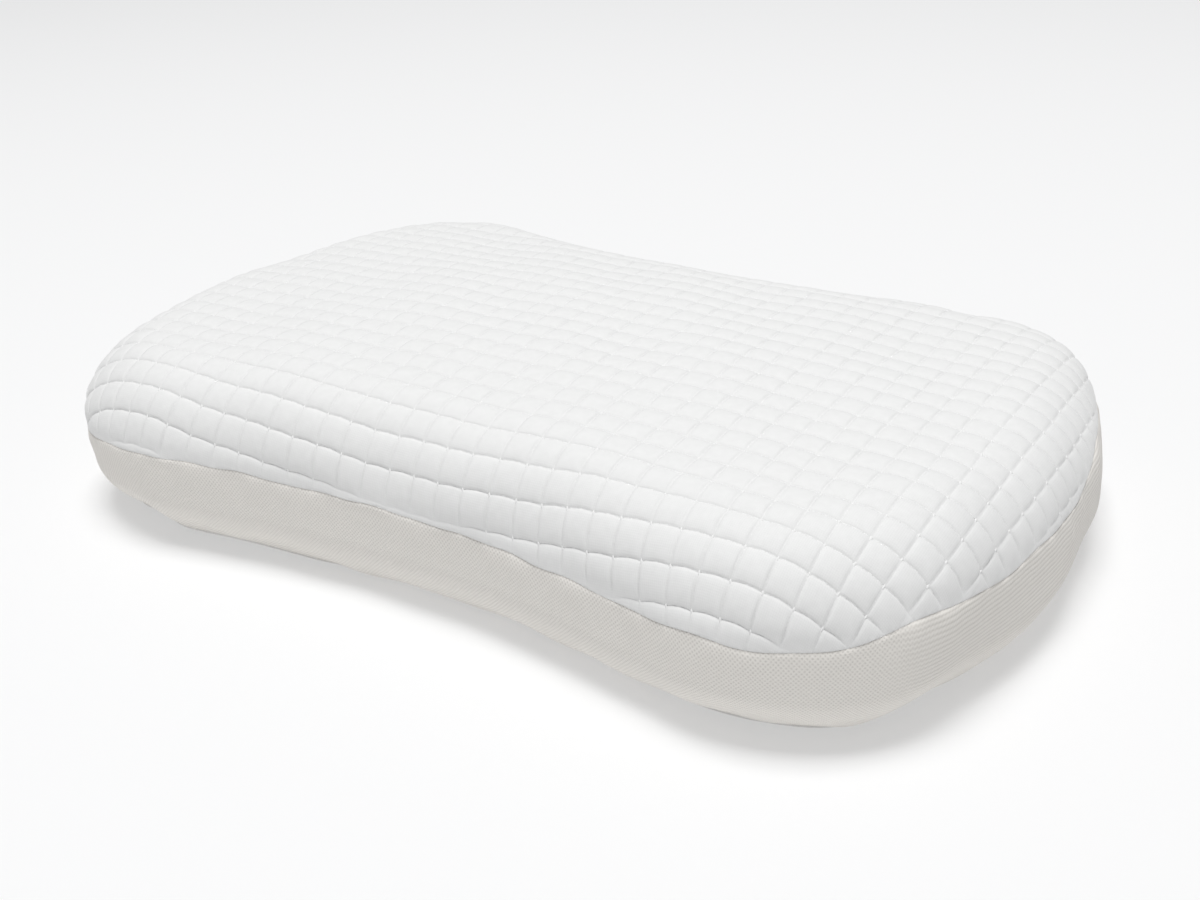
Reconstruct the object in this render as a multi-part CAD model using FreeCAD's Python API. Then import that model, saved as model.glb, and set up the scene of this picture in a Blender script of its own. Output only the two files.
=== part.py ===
import FreeCAD, Part
import math
import os

# Contour bed pillow: a moulded foam core in a thin sewn liner, inside a zipped cover.
# Millimetres. X runs along the pillow, Y across it (+Y is the back), +Z is up.
# The origin is the middle of the flat underside.

# Foam form
length = 600.0
depth = 380.0
height = 113.0
waist = 23.0
corner_radius = 100.0
end_radius = 440.0
crown_radius = 950.0
crown_offset = 32.0
top_edge_radius = 46.0
bottom_edge_radius = 32.0

# Cover and liner cloth
side_thickness = 4.0
bottom_thickness = 2.0
liner_thickness = 0.8
ease = 0.4
bottom_seam_height = 8.0
upper_strip_height = 9.0
thread = 0.8
thread_inset = 0.6
topstitch_offset = 2.0
topstitch_proud = 0.35

# Zip, measured from the outer face of the band (a positive depth goes inwards)
tape_width = 7.4
tape_depth = 1.2
tape_thickness = 0.6
coil_width = 2.3
coil_height = 1.6
chain_gap = 1.2
coil_rounding = 0.6
zip_end_margin = 10.0
chain_end_margin = 6.0
stop_length = 2.6
stop_rounding = 0.5

# Zip slider and pull
running_gap = 0.4
slider_length = 11.0
slider_nose_width = 9.6
slider_tail_width = 8.6
slider_plate = 1.4
slider_flange = 1.0
slider_rounding = 0.5
slider_corner = 1.5
post_thickness = 0.6
post_length = 2.6
post_nose_inset = 0.6
lug_thickness = 1.8
lug_radius = 1.7
pin_radius = 0.72
pin_clearance = 0.06
pull_lift = 0.9
pull_thickness = 1.6
pull_arm = 1.3
pull_eye_length = 2.5
pull_length = 24.0
pull_tip_width = 6.6
pull_slot_width = 2.4
pull_slot_length = 9.0

# Care label, sewn flat on the band at one back corner
label_length = 38.0
label_height = 15.0
label_thickness = 0.5
label_bearing = 135.0

# Limits used to pick out edges
nearly_along = 0.9
hair = 0.01

# Derived places
corner_y = depth / 2 - corner_radius
end_x = length / 2 - end_radius
corner_x = end_x + math.sqrt((end_radius - corner_radius) ** 2 - corner_y ** 2)
corner_rise = corner_radius - waist
waist_radius = (corner_x ** 2 + corner_rise ** 2 - corner_radius ** 2) / (2 * waist)
waist_face_y = depth / 2 - waist
waist_centre_y = waist_face_y + waist_radius
waist_half_angle = math.asin(corner_x / (waist_radius + corner_radius))
coil_edge = chain_gap / 2
tape_edge = coil_edge + tape_width
wall_base = bottom_edge_radius
zip_height = wall_base + topstitch_offset + thread + tape_edge
wall_top = zip_height + tape_edge + topstitch_offset + thread
seam_height = zip_height + tape_edge + upper_strip_height
join_x = waist_radius * math.sin(waist_half_angle) - zip_end_margin
chain_angle = math.asin((join_x - chain_end_margin) / waist_radius)
stop_angle = stop_length / waist_radius
slider_angle = chain_angle - (slider_length / 2 + running_gap) / waist_radius
crown_axis_z = height - crown_radius
liner_inset = side_thickness + ease
core_inset = liner_inset + liner_thickness + ease
liner_base = bottom_thickness + ease
core_base = liner_base + liner_thickness + ease
far = length + depth


def largest_top_fillet():
    """Largest top edge radius that leaves the back waist's wall upright up to wall_top."""
    reach = wall_top - crown_axis_z
    across = waist_face_y + crown_offset
    spare = crown_radius ** 2 - across ** 2 - reach ** 2
    return spare / (2 * (crown_radius - across))


top_radius = min(top_edge_radius, largest_top_fillet())


def vector(x, y, z):
    """Point or direction."""
    return FreeCAD.Vector(x, y, z)


def polar(centre, radius, angle):
    """Plan point at a radius and an angle from +X about a centre."""
    return vector(centre[0] + radius * math.cos(angle), centre[1] + radius * math.sin(angle), 0)


def plan_arc(centre, radius, start, end):
    """Plan arc about a centre, from one angle to another."""
    points = [polar(centre, radius, angle) for angle in (start, (start + end) / 2, end)]
    return Part.Arc(*points).toShape()


def outline(inset):
    """Closed plan outline of tangent arcs, moved inwards by inset."""
    back = math.pi / 2
    half = math.pi
    end = math.atan2(corner_y, corner_x - end_x)
    turn = waist_half_angle
    side = end_radius - inset
    corner = corner_radius - inset
    hollow = waist_radius + inset
    return Part.Wire([
        plan_arc((end_x, 0), side, -end, end),
        plan_arc((corner_x, corner_y), corner, end, back + turn),
        plan_arc((0, waist_centre_y), hollow, turn - back, -turn - back),
        plan_arc((-corner_x, corner_y), corner, back - turn, half - end),
        plan_arc((-end_x, 0), side, half - end, half + end),
        plan_arc((-corner_x, -corner_y), corner, half + end, half + back + turn),
        plan_arc((0, -waist_centre_y), hollow, back + turn, back - turn),
        plan_arc((corner_x, -corner_y), corner, -back - turn, -end),
    ])


def crown_block(inset):
    """Block under the crowned top: one large arc across the pillow, highest a little forward."""
    radius = crown_radius - inset
    rise = crown_axis_z + math.sqrt(radius ** 2 - depth ** 2)
    ends = [vector(0, y, rise) for y in (-depth, depth)]
    feet = [vector(0, y, -height) for y in (-depth, depth)]
    arc = Part.Arc(ends[0], vector(0, 0, crown_axis_z + radius), ends[1]).toShape()
    sides = [Part.makeLine(*pair) for pair in ((ends[1], feet[1]), (feet[1], feet[0]), (feet[0], ends[0]))]
    face = Part.Face(Part.Wire([arc] + sides))
    face.translate(vector(-length, -crown_offset, 0))
    return face.extrude(vector(2 * length, 0, 0))


def pillow_form(inset, base):
    """Solid pillow form with its walls and crown moved in by inset and its flat base at a height."""
    block = Part.Face(outline(inset)).extrude(vector(0, 0, 2 * height))
    block.translate(vector(0, 0, base))
    form = block.common(crown_block(inset)).Solids[0]
    top = max(form.Faces, key=lambda face: face.CenterOfMass.z)
    form = form.makeFillet(top_radius - inset, top.Edges)
    bottom = min(form.Faces, key=lambda face: face.CenterOfMass.z)
    return form.makeFillet(bottom_edge_radius - inset, bottom.Edges)


def slab(low, high):
    """Block wider than the pillow, between two heights."""
    return Part.makeBox(2 * far, 2 * far, high - low, vector(-far, -far, low))


def back_window(half_width, low, high):
    """Block behind the pillow's middle, between two heights."""
    return Part.makeBox(2 * half_width, far, high - low, vector(-half_width, 0, low))


def ring_piece(wall, low, high):
    """Part of a hollow wall between two heights."""
    return wall.common(slab(low, high))


def waist_sector(outer_depth, inner_depth, low, high, half_angle):
    """Strip that follows the back waist, between two depths in the band and two heights."""
    radii = (waist_radius + outer_depth, waist_radius + inner_depth)
    back = math.pi / 2
    centre = (0, waist_centre_y)
    edges = [plan_arc(centre, radius, -back - half_angle, -back + half_angle) for radius in radii]
    corners = [[polar(centre, radius, -back + sign * half_angle) for radius in radii] for sign in (-1, 1)]
    edges += [Part.makeLine(*pair) for pair in corners]
    face = Part.Face(Part.Wire(Part.__sortEdges__(edges)))
    face.translate(vector(0, 0, low))
    return face.extrude(vector(0, 0, high - low))


def mirrored_at_zip(shape):
    """Copy of an upper zip piece on the lower side of the zip."""
    return shape.mirror(vector(0, 0, zip_height), vector(0, 0, 1))


def at_slider(shape, angle):
    """Shape made along the zip's tangent, outwards and up, moved to an angle of the waist arc."""
    moved = shape.copy()
    across = waist_centre_y - waist_radius * math.cos(angle)
    place = vector(waist_radius * math.sin(angle), across, zip_height)
    turn = FreeCAD.Rotation(vector(0, 0, 1), math.degrees(angle))
    moved.Placement = FreeCAD.Placement(place, turn).multiply(moved.Placement)
    return moved


def prism(points, low, high):
    """Prism of an outline along the zip and up, between two distances outwards."""
    corners = [vector(u, low, z) for u, z in points]
    face = Part.Face(Part.makePolygon(corners + corners[:1]))
    return face.extrude(vector(0, high - low, 0))


def outward_edges(shape):
    """Edges that run outwards from the band, which are the corners of a plate's outline."""
    edges = shape.Edges
    return [edge for edge in edges if abs(edge.tangentAt(edge.FirstParameter).y) > nearly_along]


def foam_core():
    """Moulded foam block that carries the head."""
    return pillow_form(core_inset, core_base)


def liner_wall():
    """Hollow wall of the thin liner round the foam."""
    inner = pillow_form(liner_inset + liner_thickness, liner_base + liner_thickness)
    return pillow_form(liner_inset, liner_base).cut(inner)


def cover_wall():
    """Hollow wall of the whole cover before it is cut into panels."""
    return pillow_form(0, 0).cut(pillow_form(side_thickness, bottom_thickness))


def seam_wall():
    """Thin hollow wall that every seam's thread is cut from."""
    outer = pillow_form(thread_inset, thread_inset)
    return outer.cut(pillow_form(thread_inset + thread, thread_inset + thread))


def liner_pieces():
    """Liner's upper and lower halves and the thread between them."""
    wall = liner_wall()
    low = seam_height - thread / 2
    high = seam_height + thread / 2
    return {
        "liner_upper": ring_piece(wall, high, height),
        "liner_seam_thread": ring_piece(wall, low, high),
        "liner_lower": ring_piece(wall, 0, low),
    }


def cover_panels():
    """Quilted top, side band and bottom panel, with the band's back left open for the zip."""
    wall = cover_wall()
    band_low = bottom_seam_height + thread / 2
    band_high = seam_height - thread / 2
    band = ring_piece(wall, band_low, band_high)
    back = band.common(back_window(join_x - thread, band_low, band_high))
    return {
        "quilted_top_panel": ring_piece(wall, seam_height + thread / 2, height),
        "side_band_front": band.cut(back_window(join_x, band_low, band_high)),
        "side_band_back_upper": back.common(slab(zip_height + tape_edge, band_high)),
        "side_band_back_lower": back.common(slab(band_low, zip_height - tape_edge)),
        "bottom_panel": ring_piece(wall, 0, bottom_seam_height - thread / 2),
    }


def seam_threads():
    """Threads in the cover's two long seams and in the two upright joins beside the zip."""
    wall = seam_wall()
    band_low = bottom_seam_height + thread / 2
    band_high = seam_height - thread / 2
    joins = wall.common(back_window(join_x, band_low, band_high))
    joins = joins.cut(back_window(join_x - thread, band_low, band_high))
    left, right = sorted(joins.Solids, key=lambda solid: solid.CenterOfMass.x)
    return {
        "top_seam_thread": ring_piece(wall, band_high, seam_height + thread / 2),
        "bottom_seam_thread": ring_piece(wall, bottom_seam_height - thread / 2, band_low),
        "band_join_thread_left": left,
        "band_join_thread_right": right,
    }


def zip_tape():
    """Upper woven tape of the zip, from join to join."""
    reach = back_window(join_x - thread, 0, height)
    low = zip_height + coil_edge
    high = zip_height + tape_edge
    strip = waist_sector(tape_depth, tape_depth + tape_thickness, low, high, waist_half_angle)
    return strip.common(reach)


def zip_coil():
    """Upper half of the zip's chain, on the outer face of its tape."""
    low = zip_height + coil_edge
    half = waist_sector(tape_depth - coil_height, tape_depth, low, low + coil_width, chain_angle)
    outer = waist_radius + tape_depth - coil_height
    crests = [edge for edge in half.Edges if on_waist_cylinder(edge, outer)]
    return half.makeFillet(coil_rounding, crests)


def on_waist_cylinder(edge, radius):
    """Whether an edge is an arc of the waist's own circle with this radius."""
    return isinstance(edge.Curve, Part.Circle) and abs(edge.Curve.Radius - radius) < hair


def topstitch():
    """Line of stitches on the band above the zip, standing proud of its face."""
    low = zip_height + tape_edge + topstitch_offset
    line = waist_sector(-topstitch_proud, 0, low, low + thread, waist_half_angle)
    return line.common(back_window(join_x - thread, 0, height))


def zip_stop(side):
    """Moulded stop across both halves of the chain at one end."""
    half = coil_edge + coil_width
    outer = coil_height - tape_depth + topstitch_proud
    block = Part.makeBox(stop_length, outer + tape_depth, 2 * half, vector(0, -tape_depth, -half))
    block = block.makeFillet(stop_rounding, [edge for edge in block.Edges if edge.CenterOfMass.y > 0])
    block.translate(vector(-stop_length / 2, 0, 0))
    return at_slider(block, side * (chain_angle + stop_angle / 2 + running_gap / waist_radius))


def slider_outline():
    """Slider's plate outline along the zip and up, wider at its nose."""
    nose = slider_length / 2
    return [
        (nose, -slider_nose_width / 2),
        (nose, slider_nose_width / 2),
        (-nose, slider_tail_width / 2),
        (-nose, -slider_tail_width / 2),
    ]


def zip_slider():
    """Cast slider: two plates round the chain, the post between them and the lug for the pull."""
    crest = coil_height - tape_depth + running_gap
    tape_back = -tape_depth - tape_thickness - running_gap
    crown = prism(slider_outline(), crest, crest + slider_plate)
    crown = crown.makeFillet(slider_corner, outward_edges(crown))
    wing = prism(slider_outline(), tape_back - slider_plate, tape_back)
    wing = wing.makeFillet(slider_corner, outward_edges(wing))
    flange_inner = coil_edge + coil_width + running_gap
    flange_low = running_gap - tape_depth
    flange_length = slider_length - 2 * slider_corner
    body = crown.fuse(wing)
    for low in (flange_inner, -flange_inner - slider_flange):
        corner = vector(-flange_length / 2, flange_low, low)
        body = body.fuse(Part.makeBox(flange_length, crest - flange_low, slider_flange, corner))
    post_start = slider_length / 2 - post_nose_inset - post_length
    corner = vector(post_start, tape_back, -post_thickness / 2)
    body = body.fuse(Part.makeBox(post_length, crest - tape_back, post_thickness, corner))
    body = body.fuse(slider_lug(crest + slider_plate))
    return at_slider(body.removeSplitter(), slider_angle)


def pin_height():
    """Distance of the pull's pin from the band's outer face."""
    return coil_height - tape_depth + running_gap + slider_plate + pull_lift + pull_thickness / 2


def slider_lug(face):
    """Rounded lug on the slider's outer plate, with the hole for the pull's pin."""
    low = vector(0, pin_height(), -lug_thickness / 2)
    axis = vector(0, 0, 1)
    eye = Part.makeCylinder(lug_radius, lug_thickness, low, axis)
    foot = Part.makeBox(2 * lug_radius, pin_height() - face, lug_thickness, vector(-lug_radius, face, low.z))
    hole = Part.makeCylinder(pin_radius + pin_clearance, lug_thickness, low, axis)
    return eye.fuse(foot).cut(hole)


def zip_pull():
    """Pull tab with two arms and a pin that turns in the slider's lug."""
    arm_inner = lug_thickness / 2 + running_gap
    half_width = arm_inner + pull_arm
    half_thick = pull_thickness / 2
    axis_y = pin_height()
    outline = [
        (-pull_eye_length, -half_width),
        (0, -half_width),
        (0, half_width),
        (-pull_eye_length, half_width),
        (-pull_length, pull_tip_width / 2),
        (-pull_length, -pull_tip_width / 2),
    ]
    tab = prism(outline, axis_y - half_thick, axis_y + half_thick)
    tips = [edge for edge in outward_edges(tab) if edge.CenterOfMass.x < -pull_length / 2]
    tab = tab.makeFillet(pull_tip_width / 2 - slider_rounding, tips)
    eye = Part.makeBox(
        pull_eye_length + half_thick,
        2 * pull_thickness,
        2 * arm_inner,
        vector(-pull_eye_length, axis_y - pull_thickness, -arm_inner),
    )
    slot = Part.makeBox(
        pull_slot_length,
        2 * pull_thickness,
        pull_slot_width,
        vector(-pull_length + pull_tip_width / 2, axis_y - pull_thickness, -pull_slot_width / 2),
    )
    slot = slot.makeFillet(pull_slot_width / 2 - hair, outward_edges(slot))
    body = tab.cut(eye).cut(slot)
    for low in (arm_inner, -half_width):
        knuckle = Part.makeCylinder(half_thick, pull_arm, vector(0, axis_y, low), vector(0, 0, 1))
        body = body.fuse(knuckle)
    pin = Part.makeCylinder(pin_radius, 2 * half_width, vector(0, axis_y, -half_width), vector(0, 0, 1))
    return at_slider(body.fuse(pin).removeSplitter(), slider_angle)


def care_label():
    """Blank label sewn flat on the upright part of the band, round one back corner."""
    centre = (-corner_x, corner_y)
    middle = math.radians(label_bearing)
    reach = label_length / corner_radius / 2
    radii = (corner_radius, corner_radius + label_thickness)
    edges = [plan_arc(centre, radius, middle - reach, middle + reach) for radius in radii]
    for angle in (middle - reach, middle + reach):
        edges.append(Part.makeLine(*[polar(centre, radius, angle) for radius in radii]))
    face = Part.Face(Part.Wire(Part.__sortEdges__(edges)))
    face.translate(vector(0, 0, wall_base + topstitch_offset))
    return face.extrude(vector(0, 0, label_height))


def pieces():
    """Every separate piece of the pillow by name."""
    tape = zip_tape()
    coil = zip_coil()
    stitches = topstitch()
    made = {"foam_core": foam_core()}
    made.update(liner_pieces())
    made.update(cover_panels())
    made.update(seam_threads())
    made.update({
        "upper_zip_tape": tape,
        "lower_zip_tape": mirrored_at_zip(tape),
        "upper_zip_coil": coil,
        "lower_zip_coil": mirrored_at_zip(coil),
        "upper_zip_topstitch": stitches,
        "lower_zip_topstitch": mirrored_at_zip(stitches),
        "zip_stop_left": zip_stop(-1),
        "zip_stop_right": zip_stop(1),
        "zip_slider": zip_slider(),
        "zip_pull": zip_pull(),
        "care_label": care_label(),
    })
    return made


def main():
    """Write every piece, and print where the zip's two hinge axes stand."""
    os.makedirs("parts", exist_ok=True)
    for name, shape in pieces().items():
        solid = shape.Solids[0] if len(shape.Solids) == 1 else shape
        solid.exportStep("parts/" + name + ".step")
        print(name, len(shape.Solids), shape.isValid(), round(shape.Volume, 1))
    pin_reach = waist_radius - pin_height()
    pin_x = pin_reach * math.sin(slider_angle)
    pin_y = waist_centre_y - pin_reach * math.cos(slider_angle)
    print("slide axis", 0.0, waist_centre_y, "pull axis", pin_x, pin_y, zip_height)
    print("slider swing", -2 * math.degrees(slider_angle), "seam height", seam_height)


main()
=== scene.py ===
"""Contour bed pillow: quilted top, mesh band, zip, liner and core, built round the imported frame.

Metres throughout, in the row's own frame: X along the pillow, +Y its zipped back, +Z up.
"""
import logging
import math
from collections.abc import Callable
from dataclasses import dataclass, field
from enum import Enum

import bpy
import numpy as np
from mathutils import Matrix, Vector


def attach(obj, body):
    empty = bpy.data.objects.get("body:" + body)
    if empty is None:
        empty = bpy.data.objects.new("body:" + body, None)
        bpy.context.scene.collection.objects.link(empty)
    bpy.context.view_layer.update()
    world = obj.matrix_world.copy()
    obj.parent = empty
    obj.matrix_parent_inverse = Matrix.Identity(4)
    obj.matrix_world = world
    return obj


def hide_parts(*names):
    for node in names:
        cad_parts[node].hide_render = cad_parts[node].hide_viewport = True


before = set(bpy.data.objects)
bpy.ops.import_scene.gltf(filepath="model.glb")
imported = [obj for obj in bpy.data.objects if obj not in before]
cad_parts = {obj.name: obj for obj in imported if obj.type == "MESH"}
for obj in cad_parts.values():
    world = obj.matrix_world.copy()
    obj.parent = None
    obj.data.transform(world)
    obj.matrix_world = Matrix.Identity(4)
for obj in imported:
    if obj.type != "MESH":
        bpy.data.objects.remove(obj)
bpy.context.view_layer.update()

LOG = logging.getLogger("pillow")
BODY = "pillow"
CLOTH_MAP = "cloth"
GRAIN = "fine_grain"
SEWN = "sewn_repeats"
TAU = 2 * math.pi
NUDGE = 1e-4  # short step that gives a direction along or out of the surface
STITCH = (0.0023, 0.0007, 0.0007)  # length, width and height of a seam's stitch


# ---------------------------------------------------------------------------
# The pillow's form
# ---------------------------------------------------------------------------


@dataclass
class PillowForm:
    """Outer surface of the pillow: a waisted outline of tangent arcs, a rounded section and a crown.

    A cloth point is given either by its flat place on the top cloth (x, y) or by its place t
    round the outline (0 at the back's middle, clockwise, 1 once round) and the cloth length s
    down from the edge of the flat top.
    """

    length: float = 0.6000
    depth: float = 0.3797
    waist: float = 0.0230
    corner_radius: float = 0.100
    end_radius: float = 0.440
    shoulder: float = 0.054
    edge_height: float = 0.0980
    crown: float = 0.0150
    tilt: float = 0.0065
    corner_lift: float = 0.0020
    wall_top: float = 0.0470
    wall_base: float = 0.0340
    foot_inset: float = 0.0325
    top_power: float = 2.2
    foot_power: float = 1.65
    section_steps: int = 300

    def __post_init__(self) -> None:
        """Work out the arcs' centres, the outline's lengths and the table of the section."""
        cy = self.depth / 2 - self.corner_radius
        ex = self.length / 2 - self.end_radius
        cx = ex + math.sqrt((self.end_radius - self.corner_radius) ** 2 - cy ** 2)
        rise = self.corner_radius - self.waist
        self.waist_radius = (cx ** 2 + rise ** 2 - self.corner_radius ** 2) / (2 * self.waist)
        self.waist_y = self.depth / 2 - self.waist + self.waist_radius
        self.waist_angle = math.asin(cx / (self.waist_radius + self.corner_radius))
        self.end_angle = math.atan2(cy, cx - ex)
        self.corner = (cx, cy)
        self.end_x = ex
        self._lay_out_arcs()
        self._lay_out_section()

    def _lay_out_arcs(self) -> None:
        """List the outline's arcs clockwise from the back's middle: centre, radius, two angles, side."""
        (cx, cy), ex, wy = self.corner, self.end_x, self.waist_y
        turn, end, right = self.waist_angle, self.end_angle, math.pi / 2
        rw, rc, re = self.waist_radius, self.corner_radius, self.end_radius
        arcs = [
            (0, wy, rw, -right, -right + turn, -1),
            (cx, cy, rc, right + turn, end, 1),
            (ex, 0, re, end, -end, 1),
            (cx, -cy, rc, -end, -right - turn, 1),
            (0, -wy, rw, right - turn, right + turn, -1),
            (-cx, -cy, rc, -right + turn, -math.pi + end, 1),
            (-ex, 0, re, math.pi + end, math.pi - end, 1),
            (-cx, cy, rc, math.pi - end, right - turn, 1),
            (0, wy, rw, -right - turn, -right, -1),
        ]
        self.arcs = np.array(arcs, float)
        lengths = self.arcs[:, 2] * np.abs(self.arcs[:, 4] - self.arcs[:, 3])
        self.marks = np.concatenate([[0], np.cumsum(lengths)])
        self.girth = float(self.marks[-1])

    def _lay_out_section(self) -> None:
        """Tabulate the section from the flat top's edge over the shoulder and down to the underside."""
        theta = np.linspace(0, math.pi / 2, self.section_steps)
        power = 2 / self.top_power
        h = self.shoulder * np.sin(theta) ** power
        z = self.wall_top + (self.edge_height - self.wall_top) * np.cos(theta) ** power
        power = 2 / self.foot_power
        foot_h = self.shoulder - self.foot_inset * (1 - np.cos(theta) ** power)
        foot_z = self.wall_base * (1 - np.sin(theta) ** power)
        self.sec_h = np.concatenate([h, foot_h])
        self.sec_z = np.concatenate([z, foot_z])
        steps = np.hypot(np.diff(self.sec_h), np.diff(self.sec_z))
        self.sec_s = np.concatenate([[0], np.cumsum(steps)])
        self.foot_s = float(self.sec_s[-1])
        slope_h = np.gradient(self.sec_h, self.sec_s)
        slope_z = np.gradient(self.sec_z, self.sec_s)
        size = np.hypot(slope_h, slope_z)
        self.sec_dh, self.sec_dz = slope_h / size, slope_z / size

    def down_to(self, height: np.ndarray) -> np.ndarray:
        """Cloth length s at which the section has come down to a height."""
        return np.interp(-np.asarray(height), -self.sec_z, self.sec_s)

    def outline(self, t: np.ndarray, inset: float = 0.0) -> tuple[np.ndarray, np.ndarray]:
        """Points and outward normals of the outline.

        Args:
            t: places round the outline, 0 to 1.
            inset: distance inwards from the outline.

        Returns:
            Points and unit normals, each with a last axis of two.
        """
        along = np.mod(t, 1.0) * self.girth
        which = np.clip(np.searchsorted(self.marks, along, side="right") - 1, 0, len(self.arcs) - 1)
        centre_x, centre_y, radius, first, last, side = np.moveaxis(self.arcs[which], -1, 0)
        share = (along - self.marks[which]) / (self.marks[which + 1] - self.marks[which])
        angle = first + (last - first) * share
        ray = np.stack([np.cos(angle), np.sin(angle)], -1)
        normal = ray * side[..., None]
        points = np.stack([centre_x, centre_y], -1) + ray * radius[..., None] - normal * inset
        return points, normal

    def nearest(self, x: np.ndarray, y: np.ndarray) -> tuple[np.ndarray, np.ndarray, np.ndarray]:
        """Where a flat cloth point lies from the edge of the flat top.

        Args:
            x: places along the pillow.
            y: places across the pillow.

        Returns:
            Distance outwards, outward normals and places t round the outline.
        """
        px, py = np.abs(x), np.abs(y)
        (cx, cy), wy = self.corner, self.waist_y
        to_waist = np.stack([-px, wy - py], -1)
        to_end = np.stack([px - self.end_x, py], -1)
        to_corner = np.stack([px - cx, py - cy], -1)
        waist_turn = np.arctan2(px, wy - py)
        end_turn = np.arctan2(py, px - self.end_x)
        corner_turn = np.arctan2(py - cy, px - cx)
        in_waist = waist_turn < self.waist_angle
        in_end = ~in_waist & (end_turn < self.end_angle)
        size = [np.linalg.norm(ray, axis=-1) for ray in (to_waist, to_end, to_corner)]
        distance = np.where(
            in_waist,
            self.waist_radius + self.shoulder - size[0],
            np.where(
                in_end,
                size[1] - self.end_radius + self.shoulder,
                size[2] - self.corner_radius + self.shoulder,
            ),
        )
        ray = np.where(in_waist[..., None], to_waist, np.where(in_end[..., None], to_end, to_corner))
        size = np.where(in_waist, size[0], np.where(in_end, size[1], size[2]))
        normal = ray / np.maximum(size, 1e-9)[..., None]
        top = math.pi / 2 + self.waist_angle
        quarter = np.where(
            in_waist,
            self.waist_radius * waist_turn,
            np.where(
                in_end,
                self.marks[2] + self.end_radius * (self.end_angle - end_turn),
                self.marks[1] + self.corner_radius * (top - corner_turn),
            ),
        )
        along = np.where(y >= 0, quarter, self.girth / 2 - quarter)
        t = np.where(x >= 0, along, self.girth - along) / self.girth
        signs = np.stack([np.where(x < 0, -1.0, 1.0), np.where(y < 0, -1.0, 1.0)], -1)
        return distance, normal * signs, t

    def crest(self, x: np.ndarray, y: np.ndarray) -> tuple[np.ndarray, np.ndarray]:
        """Shape of the flat top before its edge turns down.

        Args:
            x: places along the pillow.
            y: places across the pillow.

        Returns:
            Heights, and slopes along X and Y with a last axis of two.
        """
        half_x, half_y = self.length / 2, self.depth / 2
        u, v = np.clip(x / half_x, -1, 1), np.clip(y / half_y, -1, 1)
        z = self.edge_height + self.crown * (1 - u * u) * (1 - v * v) - self.tilt * v
        z = z + self.corner_lift * u * u * v * v
        slope_x = (-2 * u * self.crown * (1 - v * v) + 2 * u * v * v * self.corner_lift) / half_x
        slope_y = -2 * v * self.crown * (1 - u * u) - self.tilt + 2 * v * u * u * self.corner_lift
        return z, np.stack([slope_x, slope_y / half_y], -1)

    def _over_edge(self, foot: np.ndarray, normal: np.ndarray, s: np.ndarray, lift: np.ndarray) -> np.ndarray:
        """Points over the shoulder and down the side.

        Args:
            foot: places on the flat top's edge.
            normal: outward directions there.
            s: cloth lengths down from that edge.
            lift: distances outwards from the surface.

        Returns:
            Points, with a last axis of three.
        """
        h = np.interp(s, self.sec_s, self.sec_h)
        z = np.interp(s, self.sec_s, self.sec_z)
        dh = np.interp(s, self.sec_s, self.sec_dh)
        dz = np.interp(s, self.sec_s, self.sec_dz)
        crest, slope = self.crest(foot[..., 0], foot[..., 1])
        fade = np.clip((z - self.wall_top) / (self.edge_height - self.wall_top), 0, 1)
        fall = (slope * normal).sum(-1) * h * np.clip(1 - h / self.shoulder, 0, 1) ** 2
        z = z + fade * (crest - self.edge_height) + np.where(s < self.foot_s / 2, fall, 0)
        flat = foot + normal * (h - dz * lift)[..., None]
        return np.concatenate([flat, (z + dh * lift)[..., None]], -1)

    def wall(self, t: np.ndarray, s: np.ndarray, lift: np.ndarray) -> np.ndarray:
        """Surface points from their place round the outline and cloth length over the edge.

        Args:
            t: places round the outline.
            s: cloth lengths down from the edge of the flat top.
            lift: distances outwards from the surface.

        Returns:
            Points, with a last axis of three.
        """
        t, s, lift = np.broadcast_arrays(t, s, lift)
        foot, normal = self.outline(t, self.shoulder)
        return self._over_edge(foot, normal, s, lift)

    def skin(self, x: np.ndarray, y: np.ndarray, lift: np.ndarray) -> np.ndarray:
        """Surface points from their flat place on the top cloth, draped over the edge.

        Args:
            x: flat places along the pillow.
            y: flat places across the pillow.
            lift: distances outwards from the surface.

        Returns:
            Points, with a last axis of three.
        """
        distance, normal, _ = self.nearest(x, y)
        outside = np.maximum(distance, 0)
        foot = np.stack([x, y], -1) - normal * outside[..., None]
        over = self._over_edge(foot, normal, outside, lift)
        crest, slope = self.crest(x, y)
        up = np.concatenate([-slope, np.ones(slope.shape[:-1] + (1,))], -1)
        up /= np.linalg.norm(up, axis=-1)[..., None]
        flat = np.stack([x, y, crest], -1) + up * lift[..., None]
        return np.where((distance > 0)[..., None], over, flat)

    def ring(self, t: np.ndarray, station: float, lift: float) -> np.ndarray:
        """One closed ring of the form: on the flat top, down the side or on the underside.

        Args:
            t: places round the outline.
            station: -1 at the top's middle to 0 at its edge, then the cloth length s down the
                side to foot_s, then up to 1 more to reach the underside's middle.
            lift: distance outwards from the surface.

        Returns:
            The ring's points.
        """
        if station < 0:
            edge = self.outline(t, self.shoulder)[0] * (1 + station)
            return self.skin(edge[:, 0], edge[:, 1], np.full(len(t), lift))
        if station <= self.foot_s:
            return self.wall(t, np.full(len(t), station), np.full(len(t), lift))
        edge = self.wall(t, np.full(len(t), self.foot_s), np.full(len(t), lift))
        return edge * np.array([1, 1, 0]) * (1 - (station - self.foot_s)) + np.array([0, 0, -lift])


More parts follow.
